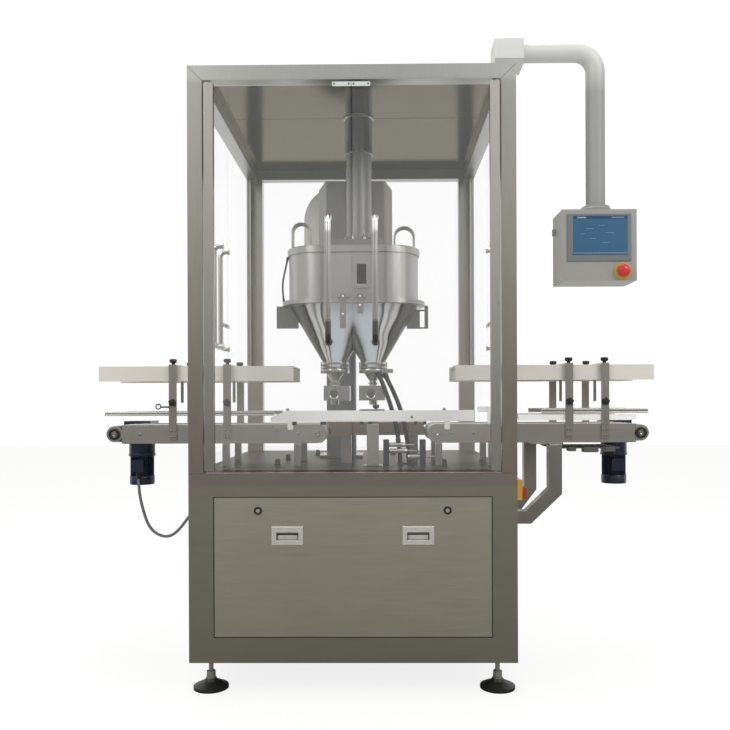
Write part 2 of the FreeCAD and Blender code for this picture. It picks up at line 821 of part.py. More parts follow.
knobs.append(join([
    rod("knob_radius", "14", ("78", "guide_y", "guide_high + 8")),
    rod("knob_radius / 2", "8", ("78", "guide_y", "guide_high")),
]))
node("star_knobs", group(knobs))

# conveyor_supports: square cranked arms on the right, tube legs on the table
def band(points, width):
    # closed outline of a strip of given width along a polyline
    spots = [Vector(p[0], p[1], 0) for p in points]
    left = []
    right = []
    for index, at in enumerate(spots):
        before = (at - spots[index - 1]).normalize() if index else None
        after = (spots[index + 1] - at).normalize() if index + 1 < len(spots) else None
        into = before or after
        out = after or before
        across = Vector(-into.y - out.y, into.x + out.x, 0).normalize()
        reach = width / 2 / across.dot(Vector(-into.y, into.x, 0))
        left.append(at + across * reach)
        right.append(at - across * reach)
    return outline([(p.x, p.y) for p in left + right[::-1]])


wall_x = half - d.sheet_inset
arm_top = d.plate_top - d.plate_height - 6
foot_x = wall_x + 8
front_arm = [
    (foot_x, d.arm_drop), (foot_x + 84, d.arm_drop), (foot_x + 184, d.arm_drop + 96),
    (foot_x + 184, arm_top),
]
rear_arm = [
    (foot_x, d.arm_drop - 20), (foot_x + 54, d.arm_drop - 20), (foot_x + 134, d.arm_drop + 86),
    (foot_x + 134, arm_top),
]
supports = [
    plate("XZ", "-300 - arm_tube / 2", [band(front_arm, d.arm_tube)], "arm_tube"),
    plate("XZ", "-520 - arm_tube / 2", [band(rear_arm, d.arm_tube)], "arm_tube"),
    box(("110", "line_width", "6"),
        ("width / 2 - sheet_inset + 112", "line_y - line_width / 2", "plate_top - plate_height - 6")),
]
for y, low in (("255", "arm_drop - 50"), ("475", "arm_drop - 70")):
    supports.append(box(("8", "90", "100"), ("width / 2 - sheet_inset", y, low)))
for x in ("-481", "-215", "310", "506"):
    for y in ("line_y - line_width / 2", "line_y + line_width / 2 - leg"):
        supports.append(box(("leg", "leg", "plate_top - plate_height - table"),
                            (f"{x} - leg / 2", y, "table")))
node("conveyor_supports", group(supports))

# filling_bed: fixed bed between the belts on two posts, with the bar's own post
bed = [
    box(("bed_right - bed_left", "line_y + line_width / 2 - bed_front", "bed_height"),
        ("bed_left", "bed_front", "904 - bed_height")),
    box(("36", "guide_thick", "guide_low - table"), ("48", "guide_y - guide_thick / 2", "table")),
]
for x in ("-60", "200"):
    bed.append(box(("40", "60", "904 - bed_height - table"), (x, "line_y + 20", "table")))
node("filling_bed", group(bed))

# isolator: box on the right rail and its rotary handle
node("isolator_box", cut(
    box(("isolator_depth + 2", "isolator_width", "isolator_height"),
        ("width / 2", "isolator_y - isolator_width / 2", "isolator_z - isolator_height / 2")),
    [rod("pivot_radius + pivot_fit", "12",
         ("width / 2 + isolator_depth - 10", "isolator_y", "isolator_knob_z"), "X")]))
face = "width / 2 + isolator_depth + 2"
node("isolator_knob", join([
    rod("20", "8", (face + " + 1", "isolator_y", "isolator_knob_z"), "X"),
    rod("pivot_radius", "12", (face + " - 10", "isolator_y", "isolator_knob_z"), "X"),
    box(("14", "10", "38"), (face + " + 8", "isolator_y - 5", "isolator_knob_z - 19")),
]))

# operator panel: post on the roof corner, swinging arm, turning case
mast_x = half - d.mast_inset
arm_parts = [
    box(("mast_base", "mast_base", "mast_base_height - 17"),
        ("width / 2 - mast_inset - mast_base / 2", "mast_y - mast_base / 2 + 2", "top + 15")),
    rod("27", "10", ("width / 2 - mast_inset", "mast_y", "top + mast_base_height - 2")),
    bent_tube([
        (mast_x + 30, d.mast_y, d.top + d.arm_rise), (d.arm_reach, d.mast_y, d.top + d.arm_rise),
        (d.arm_reach, d.mast_y, d.box_low + d.box_height + 3),
    ], "arm_radius", d.arm_bend),
    rod("47", "20", ("arm_reach", "mast_y", "box_low + box_height + 1")),
]
node("hmi_arm", cut(join(arm_parts), [
    rod("20 + pivot_fit", "70", ("width / 2 - mast_inset", "mast_y", "top + 4")),
    rod("12 + pivot_fit", "18", ("arm_reach", "mast_y", "box_low + box_height - 1")),
]))
case_left = "arm_reach - 129"
case_front = "mast_y - box_depth / 2"
screen_left = "arm_reach - screen_offset - screen_width / 2"
screen_low = "box_low + screen_rise - screen_height / 2"
node("hmi_case", cut(join([
    box(("box_width", "box_depth", "box_height"), (case_left, case_front, "box_low")),
    rod("12", "16", ("arm_reach", "mast_y", "box_low + box_height")),
    rod("stop_collar", "2", ("arm_reach + stop_offset", case_front + " - 2", "box_low + stop_rise"), "Y"),
    box(("10", "12", "22"), (case_left + " - 9", "mast_y + 30", "box_low + 170")),
]), [
    box(("screen_width", "4", "screen_height"),
        (screen_left, case_front, screen_low)),
    rod("8 + pivot_fit", "30", ("arm_reach + stop_offset", case_front + " - 4", "box_low + stop_rise"), "Y"),
]))
node("touch_panel", box(
    ("screen_width", "8", "screen_height"),
    (screen_left, case_front + " - 4", screen_low)))
node("estop_button", join([
    rod("stop_radius", "14", ("arm_reach + stop_offset", case_front + " - 26", "box_low + stop_rise"), "Y"),
    rod("12", "4", ("arm_reach + stop_offset", case_front + " - 13", "box_low + stop_rise"), "Y"),
    rod("8", "22", ("arm_reach + stop_offset", case_front + " - 12", "box_low + stop_rise"), "Y"),
]))

# column: lifting column on the table with its rounded housing on top
column_head = d.top - d.column_drop
housing_head = d.top - d.housing_drop
housing_near, housing_far = d.column_x - d.housing_left, d.column_x + d.housing_right
housing = plate("XZ", "-column_y - column_depth / 2", [outline([
    (housing_near, column_head), (housing_near, housing_head, d.housing_round),
    (housing_far, housing_head), (housing_far, column_head),
])], "column_depth")
node("column", join([
    box(("column_width", "column_depth", "top - column_drop - table"),
        ("column_x - column_width / 2", "column_y - column_depth / 2", "table")),
    box(("column_width + 2 * column_foot", "column_depth + 2 * column_foot", "column_foot_sheet"),
        ("column_x - column_width / 2 - column_foot", "column_y - column_depth / 2 - column_foot", "table")),
    housing,
]))


# hopper: racetrack barrel on two tapering cones
def ellipse(x, y, long_radius, short_radius):
    return [Part.Ellipse(Vector(x, y, 0), long_radius, short_radius)]


def tapered(x, inset, bottom_inset):
    body = doc.addObject("PartDesign::Body", "taper")
    upper = sketch(body, "XY", "flange_low", [
        ellipse(x, d.line_y, d.hopper_half - d.outlet_half - 2 - inset, d.hopper_radius - 2 - inset)])
    lower = sketch(body, "XY", "cone_low", [circle(x, d.line_y, d.collar_radius - bottom_inset)])
    loft = body.newObject("PartDesign::AdditiveLoft", "loft")
    loft.Profile = (upper, [""])
    loft.Sections = [(lower, [""])]
    loft.Ruled = True
    return body


cx, cy = d.head_x, d.line_y
outlets = (cx - d.outlet_half, cx + d.outlet_half)
outer = [
    plate("XY", "flange_low", [racetrack(cx, cy, d.hopper_half, d.hopper_radius)],
          "rim_high - flange_low"),
    plate("XY", "flange_low",
          [racetrack(cx, cy, d.hopper_half + d.flange_lip, d.hopper_radius + d.flange_lip)],
          "flange_high - flange_low"),
    plate("XY", "rim_low",
          [racetrack(cx, cy, d.hopper_half + d.rim_lip, d.hopper_radius + d.rim_lip)],
          "rim_high - rim_low"),
    box(("window_width + 16", "8", "window_height + 30"),
        ("window_x - window_width / 2 - 8", "line_y - hopper_radius - 6",
         "window_z - window_height / 2 - 15")),
    box(("85", "8", "86"), ("-307", "line_y - 4", "1268")),
    cut(box(("82", "8", "74"), ("197", "line_y - 4", "1265")),
        [box(("22", "10", "62"), ("248", "line_y - 5", "1271"))]),
    box(("14", "8", "90"), ("266", "line_y - 4", "1265")),
]
LATCHES = {"latch_left": (-42, 1253), "latch_right": (21.5, 1306)}
latch_y = cy - d.hopper_radius - d.flange_lip - 8
for x, _ in LATCHES.values():
    for side in (x - 18, x + 12):
        outer.append(box(("6", "hopper_radius", "18"), (str(side), str(latch_y - 5), "flange_high")))
    outer.append(rod("3", "30", (str(x - 15), str(latch_y), "flange_high + 9"), "X"))
inner = [
    plate("XY", "flange_low + 4",
          [racetrack(cx, cy, d.hopper_half - d.hopper_wall, d.hopper_radius - d.hopper_wall)], "400"),
    box(("window_width", "30", "window_height"),
        ("window_x - window_width / 2", "line_y - hopper_radius - 10", "window_z - window_height / 2")),
]
for x in outlets:
    outer.append(tapered(x, 0, 0))
    outer.append(rod("collar_radius", "cone_low - collar_low", (str(x), "line_y", "collar_low")))
    inner.append(tapered(x, d.hopper_wall, d.hopper_wall))
    inner.append(plate("XY", "flange_low", [
        ellipse(x, cy, d.hopper_half - d.outlet_half - 2 - d.hopper_wall, d.hopper_radius - 2 - d.hopper_wall)
    ], "6"))
    inner.append(rod("collar_radius - hopper_wall", "cone_low - collar_low + 2",
                     (str(x), "line_y", "collar_low - 1")))
node("hopper", cut(join(outer), inner))

node("window_glass", box(("window_width", "4", "window_height"), (
    "window_x - window_width / 2", "line_y - hopper_radius - 5", "window_z - window_height / 2")))

# hopper_lid: fixed middle of the lid with the hinge pins of both flaps
hinge_z = d.rim_high + 10.5
lid_half = 117
lid = [plate("XY", "rim_high", [rectangle(
    cx - lid_half, cy - d.hopper_radius - 5, cx + lid_half, cy + d.hopper_radius + 5)], "lid_sheet")]
flaps = {}
for side, sign in (("left", -1), ("right", 1)):
    axis_x = cx + sign * (lid_half + 1)
    for y in (330, 485):
        lid.append(box(("10", "9", "14"), (str(axis_x - 5 - sign * 3), str(y), "rim_high")))
    lid.append(rod("3", "160", (str(axis_x), "332", str(hinge_z)), "Y"))
    edge = axis_x + sign
    far_x = cx + sign * (d.hopper_half + d.rim_lip)
    radius = d.hopper_radius + d.rim_lip - 1
    bend_x = far_x - sign * radius
    leaf = plate("XY", "rim_high", [[
        Part.LineSegment(Vector(edge, cy - radius, 0), Vector(bend_x, cy - radius, 0)),
        Part.Arc(Vector(bend_x, cy - radius, 0), Vector(far_x, cy, 0), Vector(bend_x, cy + radius, 0)),
        Part.LineSegment(Vector(bend_x, cy + radius, 0), Vector(edge, cy + radius, 0)),
        Part.LineSegment(Vector(edge, cy + radius, 0), Vector(edge, cy - radius, 0)),
    ]], "lid_sheet")
    knuckle = rod("5.5", "142", (str(axis_x), "341", str(hinge_z)), "Y")
    web = box(("8", "142", "10.5"), (str(min(axis_x + sign, axis_x + sign * 9)), "341", "rim_high"))
    pieces = [leaf, knuckle, web]
    low_x, high_x = (-247, -173) if sign < 0 else (147, 230)
    tall = 1672 if sign < 0 else 1655
    for y in (396, 428):
        pieces.append(bent_tube([
            (low_x + 4, y, d.rim_high + 2), (low_x + 4, y, tall),
            (high_x - 4, y, tall), (high_x - 4, y, d.rim_high + 2),
        ], "4", (high_x - low_x - 8) / 2 - 1))
    flaps["lid_flap_" + side] = cut(join(pieces), [
        rod("3 + pivot_fit", "170", (str(axis_x), "327", str(hinge_z)), "Y"),
        box(("24", "11", "16"), (str(axis_x - 12), "329", "rim_high - 1")),
        box(("24", "11", "16"), (str(axis_x - 12), "484", "rim_high - 1")),
    ])
shafts = [rod("15", "20", (str(x), "line_y", "rim_high - 5")) for x in outlets]
shafts.append(rod("feed_radius - feed_wall", "20", ("feed_x", "feed_y", "rim_high - 5")))
node("hopper_lid", cut(join(lid), shafts))
for label, flap in flaps.items():
    node(label, flap)

# latches: hanging levers across the flange joint
for label, (x, foot) in LATCHES.items():
    lever = box(("22", "6", str(1379 - foot)), (str(x - 11), str(latch_y - 3), str(foot)))
    boss = rod("6", "22", (str(x - 11), str(latch_y), "flange_high + 9"), "X")
    grip = box(("22", "12", "8"), (str(x - 11), str(latch_y - 12), str(foot)))
    node(label, cut(join([lever, boss, grip]), [
        rod("3 + pivot_fit", "40", (str(x - 20), str(latch_y), "flange_high + 9"), "X")]))

# drive_cover: bevelled cover over the drives with a low nose above the lid
bevel = d.drive_bevel
cover_left, cover_right = -155, 145
cover_low = d.rim_high + d.lid_sheet
side_view = plate("XZ", "-drive_back", [outline([
    (cover_left, cover_low), (cover_left, d.drive_top - bevel),
    (cover_left + bevel, d.drive_top), (cover_right - bevel, d.drive_top),
    (cover_right, d.drive_top - bevel), (cover_right, cover_low),
])], "drive_back - drive_front")
edge = d.drive_edge
plan_view = plate("XY", "rim_high", [outline([
    (cover_left + edge, d.drive_front), (cover_right - edge, d.drive_front),
    (cover_right, d.drive_front + edge), (cover_right, d.drive_back),
    (cover_left, d.drive_back), (cover_left, d.drive_front + edge),
])], "drive_top - rim_high")
bevelled = doc.addObject("Part::MultiCommon", "bevelled")
bevelled.Shapes = [side_view, plan_view]
shell = [
    bevelled,
    box(("220", "175", "nose_height"), ("head_x - 110", "375", "rim_high + lid_sheet")),
]
cavity = [
    box(("224", "drive_back - drive_front - 6", "drive_top - rim_high - 40"),
        ("-117", "drive_front + 3", "rim_high + lid_sheet - 1")),
    box(("214", "200", "nose_height - 2"), ("head_x - 107", "378", "rim_high + lid_sheet - 1")),
    rod("feed_radius", "60", ("feed_x", "feed_y", "rim_high")),
]
node("drive_cover", cut(join(shell), cavity))

# feed_pipe: powder inlet pipe through the roof, flanged above the nose
node("feed_pipe", cut(join([
    rod("feed_radius", "top + feed_rise - rim_high - lid_sheet",
        ("feed_x", "feed_y", "rim_high + lid_sheet")),
    rod("feed_radius + 12", "8", ("feed_x", "feed_y", "rim_high + lid_sheet + nose_height")),
]), [rod("feed_radius - feed_wall", "top", ("feed_x", "feed_y", "rim_high"))]))

# carriage: slide on the column with two arms to the hopper and a drive shelf
node("carriage", join([
    box(("column_width + 12", "20", "256"), ("column_x - column_width / 2 - 6", "column_y - 80.5", "1300")),
    box(("5.5", "50", "160"), ("column_x - column_width / 2 - 6", "column_y - 80.5", "1300")),
    box(("5.5", "50", "160"), ("column_x + column_width / 2 + 0.5", "column_y - 80.5", "1300")),
    box(("12", "column_y - 80 - line_y - hopper_radius", "130"), ("-115", "line_y + hopper_radius", "1400")),
    box(("12", "column_y - 80 - line_y - hopper_radius", "130"), ("-40", "line_y + hopper_radius", "1400")),
    box(("12", "column_y - 70 - drive_front", "36"), ("-115", "drive_front", "1520")),
    box(("12", "column_y - 70 - drive_front", "36"), ("-40", "drive_front", "1520")),
    box(("276", "drive_back - drive_front - 8", "10"),
        ("-143", "drive_front + 4", "rim_high + lid_sheet - 10")),
]))

# dosing_spouts: flanged funnels narrowing to the dosing tubes and nozzle blocks
spouts = []
funnel = [
    (0, d.spout_block_low), (13.5, d.spout_block_low), (13.5, d.funnel_low),
    (d.funnel_radius, d.tube_flange_low), (d.tube_flange_radius, d.tube_flange_low),
    (d.tube_flange_radius, d.collar_low), (0, d.collar_low),
]
for x, block_x, port_x in zip(outlets, (-73, 62), (-83, 58)):
    pieces = [
        revolved(funnel, (str(x), "line_y", "0")),
        box(("spout_block_width", "spout_block_depth", "spout_block_top - spout_block_low"),
            (f"{block_x} - spout_block_width / 2", "line_y - spout_block_depth / 2", "spout_block_low")),
        rod("16", "spout_block_low - spout_low", (str(x), "line_y", "spout_low")),
    ]
    if x > cx:
        pieces.append(box(("40", "60", "collar_low - tube_flange_low"),
                          (f"{x} + 37", "line_y - 50", "tube_flange_low")))
    spouts.append(cut(join(pieces), [
        rod("tube_bore", "collar_low - spout_low", (str(x), "line_y", "spout_low")),
        cone("tube_bore", "30", "33", (str(x), "line_y", "collar_low - 32")),
        rod("port_radius", "6", (str(port_x), "line_y - spout_block_depth / 2", "1013"), "Y"),
    ]))
node("dosing_spouts", group(spouts))

# augers: shaft with a dosing screw in each tube; agitators run round the shafts
for side, x in zip(("left", "right"), outlets):
    helix = doc.addObject("Part::Helix", "helix")
    bind(helix, "Pitch", "auger_lead")
    bind(helix, "Height", "auger_lead * auger_turns")
    bind(helix, "Radius", "auger_core")
    core, rim = d.auger_core - 1, d.auger_radius
    blade = doc.addObject("Part::Feature", "blade")
    blade.Shape = Part.makePolygon([
        Vector(core, 0, -1.5), Vector(rim, 0, -1), Vector(rim, 0, 1), Vector(core, 0, 1.5),
        Vector(core, 0, -1.5)])
    flight = doc.addObject("Part::Sweep", "flight")
    flight.Sections = [blade]
    flight.Spine = (helix, [])
    flight.Solid = True
    flight.Frenet = True
    place(flight, (str(x), "line_y", "spout_low + 12"))
    node("auger_" + side, join([
        flight,
        rod("auger_core", "collar_low - spout_low", (str(x), "line_y", "spout_low + 2")),
        rod("8", "1598 - collar_low", (str(x), "line_y", "collar_low")),
    ]))
    wing = [(0, 1390), (66, 1390), (66, 1240), (38, 1158)]
    wings = [
        plate("XZ", "-line_y - 3", [band([(x + sign * a, b) for a, b in wing], 9)], "6")
        for sign in (-1, 1)
    ]
    hub = rod("13", "1585 - 1370", (str(x), "line_y", "1370"))
    node("agitator_" + side, cut(join(wings + [hub]), [
        rod("8.4", "300", (str(x), "line_y", "1300"))]))

# leads: sheathed drive lead to the cabinet, hoses and cable on the head
node("motor_lead", bent_tube([
    (-893, 553, 700), (-893, 553, 630), (-878, 555, 552), (-852, 559, 470), (-799, 560, 433),
    (-745, 556, 443), (-681, 556, 527), (-618, 559, 604), (-half + d.sheet_inset, 559, 604),
], "lead_radius"))
for label, points in HOSES.items():
    above_flange = box(("300", "300", "50"), ("head_x - 50", "line_y - 200", "tube_flange_low"))
    node(label, cut(bent_tube(points, "hose_radius"), [above_flange]))
above_rim = box(("60", "60", "20"), ("-300", "360", "rim_low"))
below_flange = box(("60", "60", "20"), ("-300", "360", "flange_high - 20"))
node("hopper_cable", cut(bent_tube([
    (-260.5, 396, 1540), (-272, 391, 1488), (-284, 388, 1424), (-276, 394, 1366),
], "cable_radius"), [above_rim, below_flange]))

doc.recompute()
failures = []
for thing in doc.Objects:
    if "Invalid" in thing.State or "Error" in thing.State:
        failures.append(f"{thing.Name} {thing.State}")
for carrier in nodes:
    if carrier.Shape.isNull() or not carrier.Shape.isValid():
        failures.append(f"{carrier.Label} has no valid shape")
if failures:
    raise RuntimeError("; ".join(failures))

os.makedirs("parts", exist_ok=True)
for carrier in nodes:
    carrier.Shape.exportStep(f"parts/{carrier.Label}.step")
print(len(nodes), "sub-parts written")
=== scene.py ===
import math

import bmesh
import bpy
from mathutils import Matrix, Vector


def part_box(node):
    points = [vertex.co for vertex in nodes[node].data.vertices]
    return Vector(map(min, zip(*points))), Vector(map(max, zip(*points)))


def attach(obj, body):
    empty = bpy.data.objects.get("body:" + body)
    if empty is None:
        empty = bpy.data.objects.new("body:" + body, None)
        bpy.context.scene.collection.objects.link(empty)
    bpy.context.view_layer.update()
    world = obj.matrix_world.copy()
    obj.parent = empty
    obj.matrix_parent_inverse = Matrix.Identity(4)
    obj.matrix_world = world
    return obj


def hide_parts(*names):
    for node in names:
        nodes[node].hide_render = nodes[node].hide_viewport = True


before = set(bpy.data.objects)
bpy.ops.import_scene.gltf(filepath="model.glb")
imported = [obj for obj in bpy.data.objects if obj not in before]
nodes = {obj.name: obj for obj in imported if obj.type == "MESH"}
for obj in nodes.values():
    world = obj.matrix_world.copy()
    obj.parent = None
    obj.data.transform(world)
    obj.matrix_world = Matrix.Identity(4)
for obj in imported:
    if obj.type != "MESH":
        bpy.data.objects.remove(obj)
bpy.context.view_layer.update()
scene = bpy.context.scene

# Camera. The machine is seen square from the front, from the height of the
# dosing spouts, with the lens and its shift matched to the photograph.
FILM_WIDTH = 36
EYE = (0.0181, -3.1280, 0.9829)
view = bpy.data.cameras.new("view")
view.sensor_width = FILM_WIDTH
view.lens = 37.64
view.shift_x = -0.0104
view.shift_y = 0.0522
view.clip_end = 60
camera = bpy.data.objects.new("view", view)
camera.location = EYE
camera.rotation_euler = (math.pi / 2 - 0.00174, 0.00377, 0.01008)
scene.collection.objects.link(camera)
scene.camera = camera
scene.view_settings.view_transform = "Standard"


# Leads. A grey sheathed drive lead hangs from the infeed motor to the
# cabinet's side, two black hoses drop from the right spout through the table
# and a thin cable runs down the hopper's left end.
ORIGIN_X, ORIGIN_Y = 75.5, 580


def spot(x, y, z):
    # a place given in millimetres from the cabinet's middle, front and floor
    return Vector((x - ORIGIN_X, y - ORIGIN_Y, z)) / 1000


def new_material(name):
    material = bpy.data.materials.new(name)
    material.use_nodes = True
    tree = material.node_tree
    return material, tree, tree.nodes["Principled BSDF"]


def lead(name, body, route, radius, material):
    path = bpy.data.curves.new(name, "CURVE")
    path.dimensions = "3D"
    path.resolution_u = 10
    path.bevel_depth = radius / 1000
    path.bevel_resolution = 5
    path.use_fill_caps = True
    line = path.splines.new("NURBS")
    line.points.add(len(route) - 1)
    for knot, place in zip(line.points, route):
        knot.co = (*spot(*place), 1)
    line.order_u = 3
    line.use_endpoint_u = True
    path.materials.append(material)
    piece = bpy.data.objects.new(name + "_run", path)
    scene.collection.objects.link(piece)
    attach(piece, body)
    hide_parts(name)


def raised(tree, shader, height, strength):
    # fine relief of a surface from a pattern of heights
    bump = tree.nodes.new("ShaderNodeBump")
    bump.inputs["Strength"].default_value = strength
    bump.inputs["Distance"].default_value = 0.001
    tree.links.new(height, bump.inputs["Height"])
    tree.links.new(bump.outputs["Normal"], shader.inputs["Normal"])


def sheath(name, colour, rib):
    # corrugation runs along the cord by its own length coordinate
    material, tree, shader = new_material(name)
    along = tree.nodes.new("ShaderNodeTexCoord")
    wave = tree.nodes.new("ShaderNodeTexWave")
    wave.wave_type = "BANDS"
    wave.bands_direction = "X"
    wave.inputs["Scale"].default_value = rib
    tree.links.new(along.outputs["UV"], wave.inputs["Vector"])
    raised(tree, shader, wave.outputs["Fac"], 0.25)
    shader.inputs["Base Color"].default_value = (*colour, 1)
    shader.inputs["Roughness"].default_value = 0.45
    return material


conduit_grey = sheath("conduit_grey", (0.16, 0.18, 0.19), 60)
hose_black = sheath("hose_black", (0.015, 0.015, 0.015), 30)
HALF_WIDTH = 550
lead("motor_lead", "machine", [
    (-893, 553, 700), (-893, 553, 630), (-878, 555, 552), (-852, 559, 470), (-799, 560, 433),
    (-745, 556, 443), (-681, 556, 527), (-618, 559, 604), (-HALF_WIDTH + 2, 559, 604),
], 6, conduit_grey)
HOSES = {
    "hose_left": [(86, 361, 1093), (136, 351, 975), (172, 366, 800), (172, 366, 625)],
    "hose_right": [(108, 376, 1093), (172, 376, 975), (204, 376, 800), (204, 376, 625)],
}
for name, route in HOSES.items():
    lead(name, "filling_head", route, 8.5, hose_black)
lead("hopper_cable", "filling_head", [
    (-260.5, 396, 1540), (-272, 391, 1488), (-284, 388, 1424), (-276, 394, 1366),
], 3.5, hose_black)


# Light. Soft lamps over both shoulders, as in a plain workshop picture. A white
# backdrop stands behind the machine; the room before it is bright above and
# dim low down, so upright steel is pale near the roof and dark near the floor.
def lamp(name, place, size, power):
    light = bpy.data.lights.new(name, "AREA")
    light.shape = "SQUARE"
    light.size = size
    light.energy = power
    holder = bpy.data.objects.new(name, light)
    holder.location = place
    aim = Vector((0, 0, 1.0)) - Vector(place)
    holder.rotation_euler = aim.to_track_quat("-Z", "Y").to_euler()
    scene.collection.objects.link(holder)


def arithmetic(tree, operation, *values):
    # one Math node; each value is a number or another node's output
    node = tree.nodes.new("ShaderNodeMath")
    node.operation = operation
    for slot, value in enumerate(values):
        if isinstance(value, (int, float)):
            node.inputs[slot].default_value = value
        else:
            tree.links.new(value, node.inputs[slot])
    return node.outputs["Value"]


def mapped(tree, source, low, high, start=0.0, end=1.0):
    # a value between low and high becomes one between start and end
    reach = tree.nodes.new("ShaderNodeMapRange")
    reach.inputs["From Min"].default_value = low
    reach.inputs["From Max"].default_value = high
    reach.inputs["To Min"].default_value = start
    reach.inputs["To Max"].default_value = end
    tree.links.new(source, reach.inputs["Value"])
    return reach.outputs["Result"]


def colour_ramp(tree, source, stops):
    ramp = tree.nodes.new("ShaderNodeValToRGB")
    while len(ramp.color_ramp.elements) < len(stops):
        ramp.color_ramp.elements.new(0.5)
    for stop, (at, colour) in zip(ramp.color_ramp.elements, stops):
        stop.position = at
        stop.color = (*colour, 1)
    tree.links.new(source, ramp.inputs["Fac"])
    return ramp.outputs["Color"]


lamp("key", (-4.0, -4.2, 4.4), 2.6, 96)
lamp("fill", (3.6, -3.9, 4.0), 2.6, 82)
lamp("crown", (0.0, 0.6, 5.5), 3.0, 135)

SKY_STEPS = (
    (0.30, 0.10), (0.46, 0.17), (0.50, 0.27), (0.55, 0.36), (0.62, 0.46), (0.72, 0.60), (1.0, 0.78),
)
world = bpy.data.worlds.new("surround")
scene.world = world
world.use_nodes = True
sky = world.node_tree
surround = sky.nodes["Background"]
toward = sky.nodes.new("ShaderNodeTexCoord")
parts = sky.nodes.new("ShaderNodeSeparateXYZ")
sky.links.new(toward.outputs["Generated"], parts.inputs["Vector"])
rise = arithmetic(sky, "MULTIPLY_ADD", parts.outputs["Z"], 0.5, 0.5)
warm_steps = [(height, (level, level * 0.985, level * 0.955)) for height, level in SKY_STEPS]
sky.links.new(colour_ramp(sky, rise, warm_steps), surround.inputs["Color"])
surround.inputs["Strength"].default_value = 1.0
paper = sky.nodes.new("ShaderNodeBackground")
paper.inputs["Color"].default_value = (1, 1, 1, 1)
paper.inputs["Strength"].default_value = 1.05
ray = sky.nodes.new("ShaderNodeLightPath")
behind = mapped(sky, parts.outputs["Y"], 0.05, 0.35)
mirrored = arithmetic(sky, "MULTIPLY", ray.outputs["Is Glossy Ray"], behind)
seen = arithmetic(sky, "MAXIMUM", ray.outputs["Is Camera Ray"], ray.outputs["Is Transmission Ray"])
choice = sky.nodes.new("ShaderNodeMixShader")
sky.links.new(arithmetic(sky, "MAXIMUM", seen, mirrored), choice.inputs["Fac"])
sky.links.new(surround.outputs["Background"], choice.inputs[1])
sky.links.new(paper.outputs["Background"], choice.inputs[2])
sky.links.new(choice.outputs["Shader"], sky.nodes["World Output"].inputs["Surface"])


# Floor. A wide pale sheet under the feet, bright to the eye so that it runs
# into the white background, still darkened by the machine's shadow. Steel
# mirrors it bright behind the machine and dim in front of it.
def add_mesh(name, build, material, *given):
    mesh = bpy.data.meshes.new(name)
    shape = bmesh.new()
    build(shape, *given)
    bmesh.ops.recalc_face_normals(shape, faces=shape.faces)
    shape.to_mesh(mesh)
    shape.free()
    piece = bpy.data.objects.new(name, mesh)
    scene.collection.objects.link(piece)
    mesh.materials.append(material)
    return piece


def object_axes(tree):
    # a surface's own place in the frame, in metres
    place = tree.nodes.new("ShaderNodeTexCoord")
    split = tree.nodes.new("ShaderNodeSeparateXYZ")
    tree.links.new(place.outputs["Object"], split.inputs["Vector"])
    return split.outputs


def sheet(shape, half):
    bmesh.ops.create_grid(shape, x_segments=1, y_segments=1, size=half)


FLOOR_HALF, GLOW_SHARE = 14, 0.78
floor_finish, tree, shader = new_material("pale_floor")
shader.inputs["Base Color"].default_value = (0.80, 0.80, 0.80, 1)
shader.inputs["Roughness"].default_value = 0.9
glow = tree.nodes.new("ShaderNodeEmission")
glow.inputs["Strength"].default_value = 1.08
dim = tree.nodes.new("ShaderNodeBsdfDiffuse")
dim.inputs["Color"].default_value = (0.15, 0.145, 0.135, 1)
ray = tree.nodes.new("ShaderNodeLightPath")
behind = mapped(tree, object_axes(tree)["Y"], 0.6, 1.6)
mirrored = arithmetic(tree, "MULTIPLY", ray.outputs["Is Glossy Ray"], behind)
seen = arithmetic(tree, "MAXIMUM", ray.outputs["Is Camera Ray"], mirrored)
far = tree.nodes.new("ShaderNodeMixShader")
tree.links.new(ray.outputs["Is Glossy Ray"], far.inputs["Fac"])
tree.links.new(shader.outputs["BSDF"], far.inputs[1])
tree.links.new(dim.outputs["BSDF"], far.inputs[2])
lit = tree.nodes.new("ShaderNodeMixShader")
tree.links.new(arithmetic(tree, "MULTIPLY", seen, GLOW_SHARE), lit.inputs["Fac"])
tree.links.new(far.outputs["Shader"], lit.inputs[1])
tree.links.new(glow.outputs["Emission"], lit.inputs[2])
tree.links.new(lit.outputs["Shader"], tree.nodes["Material Output"].inputs["Surface"])
add_mesh("floor", sheet, floor_finish, FLOOR_HALF)


# Cabinet and enclosure frame. Welded stainless square tube and folded sheet,
# ground along its length: up the posts and across the cabinet. The frame's
# colour is graded by height as painted reflection. The worktop is the same
# sheet, painted darker as a painted reflection of the machine.
def noise(tree, place, scale, detail):
    pattern = tree.nodes.new("ShaderNodeTexNoise")
    pattern.inputs["Scale"].default_value = scale
    pattern.inputs["Detail"].default_value = detail
    tree.links.new(place, pattern.inputs["Vector"])
    return pattern.outputs["Fac"]


